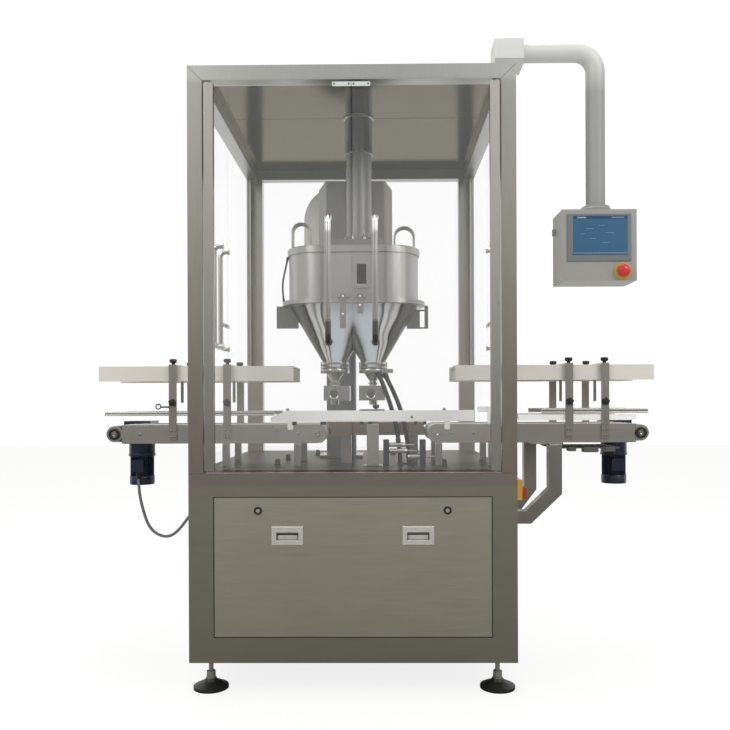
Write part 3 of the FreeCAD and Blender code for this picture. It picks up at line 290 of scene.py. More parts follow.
def textured(name, colour, roughness, grain, metallic=1.0, contrast=0.12, bump=0.04,
             cloud=1.5, cloud_contrast=0.10, coat=0.0):
    # grain is the scale of the fine pattern along X, Y and Z
    material, tree, shader = new_material(name)
    place = tree.nodes.new("ShaderNodeTexCoord").outputs["Object"]
    stretch = tree.nodes.new("ShaderNodeMapping")
    stretch.inputs["Scale"].default_value = grain
    tree.links.new(place, stretch.inputs["Vector"])
    fine = noise(tree, stretch.outputs["Vector"], 1.0, 6)
    wide = noise(tree, place, cloud, 3)
    level = 1 - contrast / 2 - cloud_contrast / 2
    tone = arithmetic(tree, "MULTIPLY_ADD", fine, contrast, level)
    paint = tree.nodes.new("ShaderNodeVectorMath")
    paint.name = "paint"
    paint.operation = "SCALE"
    paint.inputs[0].default_value = colour
    tree.links.new(arithmetic(tree, "MULTIPLY_ADD", wide, cloud_contrast, tone), paint.inputs["Scale"])
    tree.links.new(paint.outputs["Vector"], shader.inputs["Base Color"])
    rough = mapped(tree, fine, 0, 1, roughness * 0.8, min(1.0, roughness * 1.2))
    tree.links.new(rough, shader.inputs["Roughness"])
    raised(tree, shader, fine, bump)
    shader.inputs["Metallic"].default_value = metallic
    shader.inputs["Coat Weight"].default_value = coat
    return material


def graded(material, axis, low, high, stops):
    # paints a textured material by place along an axis, in metres of the frame
    tree = material.node_tree
    share = mapped(tree, object_axes(tree)[axis], low, high)
    tree.links.new(colour_ramp(tree, share, stops), tree.nodes["paint"].inputs[0])


def dress(material, *names):
    for name in names:
        slots = nodes[name].data.materials
        slots.clear()
        slots.append(material)


def soften(width, *names):
    # broken edges: the frame's own solids get a small bevel as a modifier
    for name in names:
        weld = nodes[name].modifiers.new("weld", "WELD")
        weld.merge_threshold = 0.00002
        edge = nodes[name].modifiers.new("edge", "BEVEL")
        edge.width = width / 1000
        edge.segments = 2
        edge.limit_method = "ANGLE"
        edge.angle_limit = math.radians(50)
        edge.harden_normals = False


GROUND_LONGWAYS = (260, 260, 9)
GROUND_ACROSS = (9, 260, 260)
TABLE, TOP, POST = 745, 2110, 50
frame_steel = textured("frame_steel", (0.46, 0.45, 0.40), 0.36, GROUND_LONGWAYS)
# painted reflection: lighter along the top beam, warmer near the worktop
graded(frame_steel, "Z", TABLE / 1000, TOP / 1000, [
    (0.0, (0.50, 0.43, 0.38)), (0.18, (0.46, 0.43, 0.37)), (0.6, (0.46, 0.445, 0.40)),
    (0.955, (0.46, 0.46, 0.435)), (0.97, (0.57, 0.575, 0.555)), (1.0, (0.57, 0.575, 0.555)),
])
base_steel = textured("base_steel", (0.53, 0.52, 0.43), 0.38, GROUND_ACROSS)
# the worktop above its edge is painted dark as a painted reflection of the machine; the band just below the
# edge is warmer and darker
graded(base_steel, "Z", 0.0, 1.0, [
    (0.0, (0.53, 0.52, 0.44)), (0.69, (0.51, 0.50, 0.42)), (0.71, (0.49, 0.43, 0.39)),
    (0.7435, (0.49, 0.43, 0.39)), (0.7445, (0.165, 0.16, 0.15)), (1.0, (0.165, 0.16, 0.15)),
])
support_steel = textured("support_steel", (0.46, 0.45, 0.415), 0.36, GROUND_LONGWAYS)
panel_steel = textured("panel_steel", (0.73, 0.70, 0.59), 0.42, GROUND_ACROSS)
dress(frame_steel, "enclosure_frame")
dress(support_steel, "conveyor_supports")
dress(base_steel, "cabinet_frame")
dress(panel_steel, "cabinet_panels", "front_panel")
soften(1.5, "enclosure_frame", "cabinet_frame", "front_panel")
soften(2.5, "conveyor_supports")

# Roof sheet. Rolled stainless, nearly a mirror from below. Both the roof and
# the worktop are seen at a low angle, where plain steel would turn white, so
# a tint holds their edge reflections down.
roof_steel = textured("roof_steel", (0.20, 0.19, 0.155), 0.14, (3, 40, 3), contrast=0.05)
dress(roof_steel, "roof_sheet")
for steel, tint in ((roof_steel, (0.67, 0.64, 0.57, 1)), (base_steel, (0.42, 0.40, 0.36, 1))):
    steel.node_tree.nodes["Principled BSDF"].inputs["Specular Tint"].default_value = tint

# Levelling feet. Black moulded pads, each on a plated stem with a lock nut, so
# only the lower part of the solid is black.
foot_black = textured("foot_black", (0.02, 0.02, 0.02), 0.45, (60, 60, 60), 0.0)
graded(foot_black, "Z", 0.0, 0.06, [
    (0.0, (0.015, 0.015, 0.015)), (0.56, (0.02, 0.02, 0.02)), (0.62, (0.22, 0.22, 0.21)),
    (1.0, (0.30, 0.29, 0.27)),
])
dress(foot_black, "levelling_feet")


# Front panel trim. Two recessed chrome pulls let into the panel, each a plate
# with a bright lip round a finger mouth dark with painted shade, and black
# rings round the locks.
def block(shape, low, high, rounding=0.0):
    # a box between two corners in machine millimetres, with its edges rounded
    start, end = spot(*low), spot(*high)
    corners = bmesh.ops.create_cube(shape, size=1)["verts"]
    for corner in corners:
        corner.co = Vector(start[i] if corner.co[i] < 0 else end[i] for i in range(3))
    if rounding:
        edges = list({edge for corner in corners for edge in corner.link_edges})
        bmesh.ops.bevel(
            shape, geom=edges, offset=rounding / 1000, offset_type="OFFSET",
            segments=2, profile=0.5, affect="EDGES", material=-1)


def turned(shape, profile, centre, along, steps=40):
    # a (radius, distance) profile in millimetres spun round an axis
    axis = Vector(along)
    side = axis.orthogonal().normalized()
    middle = spot(*centre)
    ring = [
        shape.verts.new(middle + side * radius / 1000 + axis * away / 1000)
        for radius, away in profile
    ]
    edges = [shape.edges.new(pair) for pair in zip(ring, ring[1:])]
    bmesh.ops.spin(
        shape, geom=ring + edges, cent=middle, axis=axis, angle=2 * math.pi,
        steps=steps, use_merge=True)
    bmesh.ops.remove_doubles(shape, verts=shape.verts, dist=0.000005)


def smooth(piece, angle=35):
    # shaded round, with an edge kept sharp where it turns by more than the angle
    mesh = piece.data
    for face in mesh.polygons:
        face.use_smooth = True
    shape = bmesh.new()
    shape.from_mesh(mesh)
    for edge in shape.edges:
        edge.smooth = edge.calc_face_angle(0) < math.radians(angle)
    shape.to_mesh(mesh)
    shape.free()
    return piece


def mount(piece, body):
    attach(piece, body)
    return piece


def pull_plate(shape, middle):
    left, right, low, high = middle - PULL_HALF, middle + PULL_HALF, PULL_Z - 31, PULL_Z + 31
    for start, end, foot, head in (
            (left, right, high - 20, high), (left, right, low, low + 15),
            (left, left + 16, low + 15, high - 20), (right - 16, right, low + 15, high - 20)):
        block(shape, (start, -1.6, foot), (end, 3.6, head), 0.5)


def pull_lip(shape, middle):
    high = PULL_Z + 31
    block(shape, (middle - PULL_HALF, -2.8, high - 4.5), (middle + PULL_HALF, 0, high), 1.2)
    block(shape, (middle - 36, -2.4, PULL_Z - 18.5), (middle + 36, 2, PULL_Z - 15.5), 0.8)


def pull_mouth(shape, middle):
    block(shape, (middle - 36.5, 16.5, PULL_Z - 17.5), (middle + 36.5, 17.5, PULL_Z + 8.5), 0.3)
    block(shape, (middle - 36.5, 3, PULL_Z + 5), (middle + 36.5, 16, PULL_Z + 8.5), 0.3)


def pull_flap(shape, middle):
    block(shape, (middle - 34, 7, PULL_Z - 15.5), (middle + 34, 10, PULL_Z + 1), 1.2)


def lock_ring(shape, middle):
    profile = [(6.9, 0), (6.9, 5.8), (7.8, 6.4), (12.2, 6.4), (13.2, 5.4), (13.2, 0)]
    turned(shape, profile, (middle, 2, LOCK_Z), OUTWARD)


OUTWARD, UPWARD = (0, -1, 0), (0, 0, 1)
PULL_X, PULL_Z, PULL_HALF = 219, 536, 53
LOCK_X, LOCK_Z = 317, 620
satin = textured("satin_trim", (0.60, 0.585, 0.55), 0.32, (40, 40, 40), metallic=0.35, contrast=0.06)
chrome = textured("chrome_trim", (0.88, 0.87, 0.84), 0.2, (40, 40, 40), metallic=0.4, contrast=0.06)
# painted shade: one dark colour for hollows seen only in shade, the pull mouths, the valve ports and the
# space under the outfeed belt
shade = textured("painted_shade", (0.13, 0.125, 0.115), 0.5, (60, 60, 60), 0.2)
black_trim = textured("black_trim", (0.018, 0.018, 0.018), 0.35, (200, 200, 200), 0.0)
for side, label in ((-1, "left"), (1, "right")):
    for part, build, finish, slot in (
            ("plate", pull_plate, satin, "bright_steel"), ("lip", pull_lip, chrome, "bright_steel"),
            ("mouth", pull_mouth, shade, "knob_black"), ("flap", pull_flap, satin, "panel_steel")):
        mount(add_mesh(f"pull_{part}_{label}", build, finish, side * PULL_X), "front_panel")
    ring = add_mesh(f"lock_ring_{label}", lock_ring, black_trim, side * LOCK_X)
    mount(smooth(ring), "front_panel")
lock_chrome = textured("lock_chrome", (0.66, 0.65, 0.62), 0.22, (60, 60, 60), metallic=0.35)
dress(lock_chrome, "panel_lock_left", "panel_lock_right")
OPENING, STRIP = (-467, 467, 194, 666), 2.5


def gap_shade_strip(shape):
    # a flat black strip fills the gap round the panel as painted shade, and stays clear of its tilt
    left, right, low, high = OPENING
    for start, end, foot, head in (
            (left, right, low, low + STRIP), (left, right, high - STRIP, high),
            (left, left + STRIP, low, high), (right - STRIP, right, low, high)):
        block(shape, (start, 0.9, foot), (end, 1.9, head), 0.2)


mount(add_mesh("panel_gap_shade", gap_shade_strip, black_trim), "machine")


# Weld seams. Ground beads show as a fine dark line where the front beam meets
# the posts on a mitre and where the enclosure stands on the cabinet.
def strip(shape, start, end, width, thickness):
    # a low flat bead on the front face between two (x, z) places
    first, last = Vector((start[0], 0, start[1])), Vector((end[0], 0, end[1]))
    across = (last - first).cross(Vector((0, 1, 0))).normalized() * width / 2
    for corner in bmesh.ops.create_cube(shape, size=2)["verts"]:
        along, side, proud = corner.co
        place = (last if along > 0 else first) + across * side * (0.4 if proud > 0 else 1.0)
        corner.co = spot(place.x, -thickness if proud > 0 else 0, place.z)


seam_grey = textured("seam_grey", (0.22, 0.21, 0.19), 0.5, (200, 200, 200))
FOOT_SEAM, SEAM_WIDTH, SEAM_HEIGHT = 742, 1.6, 0.35


def seams(shape):
    for side in (-1, 1):
        outer, inner = (side * (HALF_WIDTH - 2), TOP - 2), (side * (HALF_WIDTH - POST + 1), TOP - POST + 1)
        strip(shape, outer, inner, SEAM_WIDTH, SEAM_HEIGHT)
        outer, inner = (side * HALF_WIDTH, FOOT_SEAM), (side * (HALF_WIDTH - POST), FOOT_SEAM)
        strip(shape, outer, inner, SEAM_WIDTH, SEAM_HEIGHT)


mount(add_mesh("weld_seams", seams, seam_grey), "machine")


# Doors and screens. Clear acrylic sheet with polished edges: almost nothing
# is seen of its face but a soft sheen. The front handles carry a painted
# highlight at the top and painted shade at the foot, and a white catch plate
# tops each front door.
def clear_sheet(name, colour, alpha, roughness):
    material, tree, shader = new_material(name)
    shader.inputs["Base Color"].default_value = (*colour, 1)
    shader.inputs["Alpha"].default_value = alpha
    smear = noise(tree, tree.nodes.new("ShaderNodeTexCoord").outputs["Object"], 3, 4)
    rough = mapped(tree, smear, 0, 1, roughness * 0.5, roughness * 1.5)
    tree.links.new(rough, shader.inputs["Roughness"])
    raised(tree, shader, smear, 0.02)
    return material


def mixed(tree, share, first, second):
    # the colour sockets of a Mix node have the numbers 6, 7 and 2
    blend = tree.nodes.new("ShaderNodeMix")
    blend.data_type = "RGBA"
    for slot, source in ((0, share), (6, first), (7, second)):
        tree.links.new(source, blend.inputs[slot])
    return blend.outputs[2]


def handle_highlight_and_shade(material, low, high, stops):
    # painted highlight and shade along Z for what stands near the machine's middle plane
    tree = material.node_tree
    tint = tree.nodes["paint"].inputs[0]
    axes = object_axes(tree)
    aside = arithmetic(tree, "ABSOLUTE", arithmetic(tree, "ADD", axes["X"], ORIGIN_X / 1000))
    near = mapped(tree, aside, *HANDLE_REACH, 1, 0)
    tones = colour_ramp(tree, mapped(tree, axes["Z"], low, high), stops)
    tree.links.new(mixed(tree, near, tint.links[0].from_socket, tones), tint)


def catch(shape, left, right):
    block(shape, (left, 1.2, TOP - 72), (right, 4.2, TOP - 57), 0.9)


def catch_screws(shape, left, right):
    for x in (left + 7, right - 7):
        turned(shape, [(0, 0), (0, 1.2), (2.4, 1.0), (3.2, 0)], (x, 1.4, TOP - 64.5), OUTWARD, 16)


DOORS = (
    "front_door_left", "front_door_right", "side_door_left_front", "side_door_left_rear",
    "side_door_right_front", "side_door_right_rear",
)
dress(clear_sheet("clear_acrylic", (0.86, 0.89, 0.88), 0.05, 0.05), *DOORS, "fixed_screens")
door_steel = textured("door_steel", (0.62, 0.60, 0.56), 0.30, GROUND_LONGWAYS, contrast=0.08)
graded(door_steel, "X", -0.6, 0.5, [
    (0.0, (0.60, 0.585, 0.55)), (0.20, (0.60, 0.585, 0.55)), (0.22, (0.43, 0.425, 0.405)),
    (0.80, (0.43, 0.425, 0.405)), (0.82, (0.68, 0.665, 0.63)), (1.0, (0.68, 0.665, 0.63)),
])
HANDLE_REACH = (0.12, 0.14)
# painted highlight on the handles' bent tops and painted shade at their feet
handle_highlight_and_shade(door_steel, 1.17, 1.61, [
    (0.0, (0.17, 0.165, 0.155)), (0.17, (0.20, 0.195, 0.185)), (0.20, (0.50, 0.495, 0.47)),
    (0.84, (0.50, 0.495, 0.47)), (0.88, (0.97, 0.96, 0.93)), (1.0, (0.97, 0.96, 0.93)),
])
dress(door_steel, *[door + "_fittings" for door in DOORS])
plate_white = textured("plate_white", (0.70, 0.73, 0.70), 0.35, (80, 80, 80), 0.1, contrast=0.05)
for label, ends in (("left", (-64, -1)), ("right", (1, 64))):
    door = f"front_door_{label}"
    mount(add_mesh(f"catch_plate_{label}", catch, plate_white, *ends), door)
    mount(add_mesh(f"catch_screws_{label}", catch_screws, black_trim, *ends), door)

# Conveyors. Brushed side plates, white belts on bright rollers, with a black
# bearing ring round each end shaft and hexagon screws along the plates.
line_steel = textured("line_steel", (0.60, 0.58, 0.54), 0.36, GROUND_ACROSS)
dress(line_steel, "conveyor_frames")
rail_steel = textured("rail_steel", (0.54, 0.52, 0.47), 0.34, GROUND_LONGWAYS)
dress(rail_steel, "guide_gantries")
soften(0.8, "conveyor_frames", "guide_gantries")
dress(textured("belt_white", (0.78, 0.78, 0.76), 0.6, (400, 400, 400), 0.0), "belts")
bright_steel = textured("bright_steel", (0.70, 0.70, 0.69), 0.14, (40, 40, 6), contrast=0.06)
dress(bright_steel, "infeed_end_roller", "infeed_inner_roller")
dress(bright_steel, "outfeed_end_roller", "outfeed_inner_roller")
guide_white = textured("guide_white", (0.95, 0.95, 0.945), 0.35, (20, 20, 20), 0.0, contrast=0.04)
dress(guide_white, "guide_strips")
soften(1.2, "guide_strips")
bed_brown = textured("bed_brown", (0.40, 0.31, 0.26), 0.42, GROUND_ACROSS)
graded(bed_brown, "Z", 0.7, 1.0, [
    (0.0, (0.44, 0.42, 0.39)), (0.515, (0.44, 0.42, 0.39)), (0.53, (0.41, 0.32, 0.265)),
    (1.0, (0.41, 0.32, 0.265)),
])
dress(bed_brown, "filling_bed")
cover_beige = textured("cover_beige", (0.74, 0.71, 0.65), 0.3, (8, 8, 8), 0.0, contrast=0.05)
dress(cover_beige, "tunnel_covers")
LINE_FRONT, ROLLER_Z = 279, 866
END_SHAFTS = (-895, 1055)
INNER_SHAFTS = (-138, 303)
CLAMP_FEET = (-676, -474, 791, 923)


def end_rings(shape):
    profile = [(11, 0), (11, 2.2), (13, 3.4), (19, 3.4), (21, 2.2), (21, 0)]
    for x in END_SHAFTS:
        turned(shape, profile, (x, LINE_FRONT - 4, ROLLER_Z), OUTWARD)


def shaft_nuts(shape):
    profile = [(4.0, 0), (4.0, 2.0), (6.0, 3.0), (9.0, 3.0), (9.8, 2.0), (9.8, 0)]
    for x in END_SHAFTS + INNER_SHAFTS:
        turned(shape, profile, (x, LINE_FRONT - 4, ROLLER_Z), OUTWARD, 6)


def screw_head(shape, x, y, z, radius):
    washer = radius * 1.3
    profile = [(washer, 0), (washer, 1.0), (radius, 1.0), (radius, 4.6), (radius * 0.8, 5.4), (0, 5.4)]
    turned(shape, profile, (x, y, z), OUTWARD, 6)


def plate_screws(shape):
    for x in (-800, -212, 360, 440):
        screw_head(shape, x, LINE_FRONT, ROLLER_Z, 5.5)
    for foot in CLAMP_FEET:
        for dx, dz in ((-6, -10), (6, -10), (-6, 14), (6, 14)):
            screw_head(shape, foot + dx, LINE_FRONT - 6, ROLLER_Z + dz, 3.2)
    for x in (-286, -270, -300, -255):
        screw_head(shape, x, LINE_FRONT, ROLLER_Z + 20, 2.6)


mount(smooth(add_mesh("bearing_rings", end_rings, black_trim)), "machine")
mount(add_mesh("shaft_nuts", shaft_nuts, bright_steel), "machine")
mount(add_mesh("plate_screws", plate_screws, bright_steel), "machine")


# Clamp knobs. Five-lobed black knobs on every guide clamp and cover rod, each
# on a short tapered stem, and one on the bar over the filling bed.
def star(shape, centre, along, radius, height):
    axis = Vector(along)
    side = axis.orthogonal().normalized()
    other = axis.cross(side)
    rings = []
    for share, away in ((0.62, 0.0), (0.90, 0.1), (1.0, 0.3), (1.0, 0.72), (0.90, 0.92), (0.5, 1.0)):
        ring = []
        for step in range(LOBE_STEPS):
            turn = math.tau * step / LOBE_STEPS
            lobe = 0.90 + 0.10 * math.cos(5 * turn)
            reach = (side * math.cos(turn) + other * math.sin(turn)) * radius * share * lobe / 1000
            ring.append(shape.verts.new(spot(*centre) + reach + axis * height * away / 1000))
        rings.append(ring)
    for low, high in zip(rings, rings[1:]):
        for step in range(LOBE_STEPS):
            after = (step + 1) % LOBE_STEPS
            shape.faces.new((low[step], low[after], high[after], high[step]))
    shape.faces.new(rings[0])
    shape.faces.new(rings[-1])


LOBE_STEPS, KNOB_RADIUS = 30, 14.5
COVER_TOP, SIDE_KNOB_Z, REAR_KNOB_Y = 1118, 982, 539
BAR_X, BAR_Y, BAR_TOP = 78, 276, 951


def knobs(shape):
    for x in CLAMP_FEET:
        for y in (LINE_FRONT + 6, REAR_KNOB_Y):
            star(shape, (x, y, COVER_TOP + 12), UPWARD, KNOB_RADIUS, 15)
            turned(shape, [(0, 0), (6, 0), (7.5, 7), (0, 7)], (x, y, COVER_TOP + 6), UPWARD, 20)
        star(shape, (x, LINE_FRONT - 9, SIDE_KNOB_Z), OUTWARD, KNOB_RADIUS, 12)
        turned(shape, [(0, 0), (6, 0), (7, 5), (0, 5)], (x, LINE_FRONT - 5, SIDE_KNOB_Z), OUTWARD, 20)
    star(shape, (BAR_X, BAR_Y, BAR_TOP + 8), UPWARD, 13, 14)
    turned(shape, [(0, 0), (6, 0), (6, 8), (0, 8)], (BAR_X, BAR_Y, BAR_TOP), UPWARD, 20)


black_plastic = textured("black_plastic", (0.02, 0.02, 0.02), 0.35, (300, 300, 300), 0.0)
knob_piece = mount(smooth(add_mesh("clamp_knobs", knobs, black_plastic), 50), "machine")
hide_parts("star_knobs")

# Guide rails. Twin bright round bars run along each steel rail, with domed
# ends, and a wire loop on the first clamp lifts the infeed rail.
rail_bright = textured("rail_bright", (0.70, 0.70, 0.68), 0.26, (6, 60, 60), metallic=0.45, contrast=0.06)
RAILS = ((-930, -300, 933, 949), (691, 1082, 938, 956))
LOOP_X, LOOP_Z, WIRE = -728, 968, 2.4


def rail_bars(shape):
    for start, stop, low, high in RAILS:
        length = stop - start
        profile = [(0, 0), (2, 0), (3.2, 1.4), (3.2, length - 1.4), (2, length), (0, length)]
        for y in (LINE_FRONT - 2.2, LINE_FRONT + 255.8):
            for z in (low + 3.4, high - 3.4):
                turned(shape, profile, (start, y, z), (1, 0, 0), 16)


def rail_loop(shape):
    turns = [math.tau * step / 12 for step in range(13)]
    ring = [(9 + WIRE * math.cos(turn), WIRE * math.sin(turn)) for turn in turns]
    turned(shape, ring, (LOOP_X, LINE_FRONT - 10, LOOP_Z), OUTWARD, 28)
    block(shape, (LOOP_X + 9, LINE_FRONT - 12, LOOP_Z - 5), (LOOP_X + 40, LINE_FRONT - 6, LOOP_Z + 1), 1.5)


mount(smooth(add_mesh("rail_bars", rail_bars, rail_bright)), "machine")
mount(smooth(add_mesh("rail_loop", rail_loop, black_plastic)), "machine")

# Conveyor drives. Navy enamelled gear motors: the solids keep the body, and
# cooling fins, a fan cowl and a flange ring stand on it.
MOTOR_Y, MOTOR_LOW = 610, 646
FINS, FIN_TOP, FIN_ROOT, FIN_TIP, FIN_HALF = 28, 760, 41.5, 47.5, 1.1
motor_navy = textured("motor_navy", (0.012, 0.018, 0.042), 0.32, (90, 90, 90), 0.0, coat=0.3)
dress(motor_navy, "gear_motors")


def fins(shape):
    for x in END_SHAFTS:
        for step in range(FINS):
            turn = math.tau * step / FINS
            out = Vector((math.cos(turn), math.sin(turn), 0)) / 1000
            wide = Vector((-out.y, out.x, 0)) * FIN_HALF
            for corner in bmesh.ops.create_cube(shape, size=2)["verts"]:
                outer, side, upper = corner.co
                reach = out * FIN_TIP + wide * side / 2 if outer > 0 else out * FIN_ROOT + wide * side
                corner.co = spot(x, MOTOR_Y, FIN_TOP if upper > 0 else MOTOR_LOW + 36) + reach


def cowls(shape):
    cowl = [(0, -0.4), (40, -0.4), (47, 1), (50, 5), (50.3, 33), (49.2, 35), (43, 36)]
    flange = [(43, 0), (53.5, 0.5), (54, 3), (54, 9), (53.5, 11), (43, 11.5)]
    for x in END_SHAFTS:
        turned(shape, cowl, (x, MOTOR_Y, MOTOR_LOW), UPWARD, 48)
        turned(shape, flange, (x, MOTOR_Y, FIN_TOP + 2), UPWARD, 48)


mount(add_mesh("motor_fins", fins, motor_navy), "machine")
mount(smooth(add_mesh("motor_cowls", cowls, motor_navy)), "machine")

# Hopper. Fine-ground barrel with rolled seams, banded across with painted
# reflection, and hand-polished cones painted with the room's reflection as
# upright streaks, dark at the outside and pale in front.
HEAD_X, HEAD_Y = -8, 412
CONE_LOW, FLANGE_LOW = 1139, 1350
OUTLET, OUTLET_RADIUS, CONE_SLOPE = 74, 48, 125 / 211
BARREL_HALF = 275


def paint_hopper_reflections(material):
    # across is -1 at the middle of the head, 0 over an outlet and 1 outside
    tree = material.node_tree
    axes = object_axes(tree)
    sideways = arithmetic(tree, "SUBTRACT", axes["X"], (HEAD_X - ORIGIN_X) / 1000)
    outward = arithmetic(tree, "SUBTRACT", arithmetic(tree, "ABSOLUTE", sideways), OUTLET / 1000)
    rise = arithmetic(tree, "MAXIMUM", arithmetic(tree, "SUBTRACT", axes["Z"], CONE_LOW / 1000), 0.0)
    half = arithmetic(tree, "MULTIPLY_ADD", rise, CONE_SLOPE, OUTLET_RADIUS / 1000)
    across = arithmetic(tree, "DIVIDE", outward, half)
    wobble = noise(tree, tree.nodes.new("ShaderNodeTexCoord").outputs["Object"], 9, 2)
    drift = arithmetic(tree, "MULTIPLY_ADD", wobble, 0.16, -0.08)
    place = arithmetic(tree, "ADD", arithmetic(tree, "MULTIPLY_ADD", across, 0.5, 0.5), drift)
    streaks = colour_ramp(tree, place, CONE_REFLECTION_STREAKS)
    spread = arithmetic(tree, "MULTIPLY_ADD", sideways, 500 / BARREL_HALF, 0.5)
    bands = colour_ramp(tree, spread, [
        ((at + BARREL_HALF) / (2 * BARREL_HALF), (level, level * 0.985, level * 0.95))
        for at, level in BARREL_SEAM_AND_REFLECTION_BANDS
    ])
    below = arithmetic(tree, "LESS_THAN", axes["Z"], FLANGE_LOW / 1000)
    tree.links.new(mixed(tree, below, bands, streaks), tree.nodes["paint"].inputs[0])
    shader = tree.nodes["Principled BSDF"]
    tree.links.new(mapped(tree, below, 0, 1, 0.34, 0.12), shader.inputs["Roughness"])
    tree.links.new(mapped(tree, below, 0, 1, 0.72, 0.25), shader.inputs["Metallic"])


# painted reflection: streak tones across each cone, and band tones along the barrel with darker lines at
# its seams
CONE_REFLECTION_STREAKS = (
    (0.00, (0.10, 0.10, 0.09)), (0.12, (0.24, 0.23, 0.21)), (0.20, (0.06, 0.06, 0.055)),
    (0.26, (0.66, 0.69, 0.72)), (0.34, (0.84, 0.90, 0.98)), (0.54, (0.80, 0.87, 0.96)),
    (0.60, (0.66, 0.70, 0.74)), (0.622, (0.14, 0.14, 0.13)), (0.637, (0.14, 0.14, 0.13)),
    (0.65, (0.94, 0.95, 0.95)), (0.685, (0.90, 0.91, 0.90)),
    (0.71, (0.34, 0.33, 0.31)), (0.75, (0.94, 0.94, 0.93)), (0.785, (0.90, 0.89, 0.87)),
    (0.80, (0.55, 0.54, 0.52)), (0.812, (0.022, 0.02, 0.018)), (0.838, (0.022, 0.02, 0.018)),
    (0.848, (0.10, 0.095, 0.085)), (0.92, (0.13, 0.125, 0.11)), (0.96, (0.045, 0.043, 0.038)),
    (1.00, (0.20, 0.195, 0.18)),
)
BARREL_SEAM_AND_REFLECTION_BANDS = (
    (-249, 0.34), (-234, 0.42), (-215, 0.62), (-150, 0.66), (-125, 0.50), (-112, 0.36),
    (-98, 0.52), (-40, 0.54), (60, 0.50), (112, 0.46), (123, 0.34), (132, 0.52), (165, 0.62),
    (176, 1.0), (193, 1.0), (202, 0.59), (249, 0.42),
)
hopper_steel = textured("hopper_steel", (0.62, 0.62, 0.61), 0.22, (8, 8, 240), metallic=0.72, contrast=0.06)
paint_hopper_reflections(hopper_steel)
lid_steel = textured("lid_steel", (0.50, 0.49, 0.46), 0.3, (8, 8, 240), contrast=0.08)
dress(hopper_steel, "hopper")
dress(lid_steel, "hopper_lid", "lid_flap_left", "lid_flap_right")
dress(clear_sheet("window_pane", (0.05, 0.045, 0.04), 0.85, 0.05), "window_glass")

# Drive cover, column and inlet pipe. Dull folded steel behind the hopper, with
# the column's housing paler at the top; the pipe has a bolted flange on the
# lid and runs through a polished sleeve under the roof.
cover_steel = textured("cover_steel", (0.37, 0.36, 0.34), 0.38, GROUND_LONGWAYS)
# painted light: the drive cover's curved left side is coloured much lighter than its flat front
graded(cover_steel, "X", -0.35, 0.15, [
    (0.0, (0.90, 0.89, 0.83)), (0.19, (0.88, 0.87, 0.82)), (0.20, (0.46, 0.455, 0.43)),
    (0.295, (0.46, 0.455, 0.43)), (0.30, (0.37, 0.365, 0.345)), (0.78, (0.39, 0.375, 0.36)),
    (0.79, (0.46, 0.445, 0.43)), (1.0, (0.46, 0.445, 0.43)),
])
dress(cover_steel, "drive_cover", "carriage")
soften(2.0, "drive_cover")
pipe_steel = textured("pipe_steel", (0.37, 0.365, 0.345), 0.46, GROUND_LONGWAYS)
dress(pipe_steel, "feed_pipe")
column_steel = textured("column_steel", (0.40, 0.41, 0.43), 0.32, GROUND_LONGWAYS, contrast=0.08)
graded(column_steel, "Z", 0.7, 1.9, [
    (0.0, (0.36, 0.365, 0.38)), (0.60, (0.36, 0.365, 0.38)), (0.64, (0.97, 0.955, 0.90)),
    (1.0, (0.98, 0.965, 0.91)),
])
dress(column_steel, "column")
soften(2.0, "column")
PIPE_X, PIPE_Y, PIPE_RADIUS = 12, 480, 50.5
ROOF_LOW, RIM_TOP = 2105, 1566


def pipe_collar(shape):
    profile = [
        (PIPE_RADIUS + 0.4, -2), (59, -2), (59, -5), (55, -8), (54, -14), (54, -136), (56, -138),
        (56, -146), (54, -148), (PIPE_RADIUS + 0.4, -148),
    ]
    turned(shape, profile, (PIPE_X, PIPE_Y, ROOF_LOW), UPWARD, 56)


def roof_seam(shape):
    for start, end in ((-495, PIPE_X - 62), (PIPE_X + 62, 495)):
        block(shape, (start, PIPE_Y - 1, ROOF_LOW + 0.4), (end, PIPE_Y + 1, ROOF_LOW + 1.2), 0.2)


def flange_studs(shape):
    nut = [(0, 0), (6.5, 0), (6.5, 13), (4.5, 16), (0, 16)]
    stud = [(0, 0), (3, 0), (3, 9), (2, 10), (0, 10)]
    for step in range(8):
        turn = math.radians(45 * step + 22)
        x, y = PIPE_X + 57 * math.cos(turn), PIPE_Y + 57 * math.sin(turn)
        turned(shape, nut, (x, y, RIM_TOP + 48), UPWARD, 6)
        turned(shape, stud, (x, y, RIM_TOP + 62), UPWARD, 12)


mirror_steel = textured(
    "mirror_steel", (0.46, 0.455, 0.44), 0.10, (8, 8, 8), contrast=0.25, cloud=22, cloud_contrast=0.5)
mount(smooth(add_mesh("pipe_collar", pipe_collar, mirror_steel)), "machine")
mount(add_mesh("roof_seam", roof_seam, seam_grey), "machine")
mount(add_mesh("flange_studs", flange_studs, bright_steel), "filling_head")

# Dosing spouts. Polished funnels under clamped collars, ground valve blocks
# with round ports, and two riveted latches above them on the hopper's front.
spout_steel = textured("spout_steel", (0.60, 0.59, 0.56), 0.24, (40, 40, 40), contrast=0.1)
latch_steel = textured("latch_steel", (0.42, 0.395, 0.36), 0.3, (60, 60, 60), metallic=0.7)
dress(spout_steel, "dosing_spouts")
dress(bright_steel, "auger_left", "auger_right", "agitator_left", "agitator_right")
dress(latch_steel, "latch_left", "latch_right")
soften(1.2, "dosing_spouts")
CLAMP_LOW, SEAL_LOW = 1110, 1050
PORTS_X, PORT_Y, PORT_Z = (-83, 58), 370, 1013


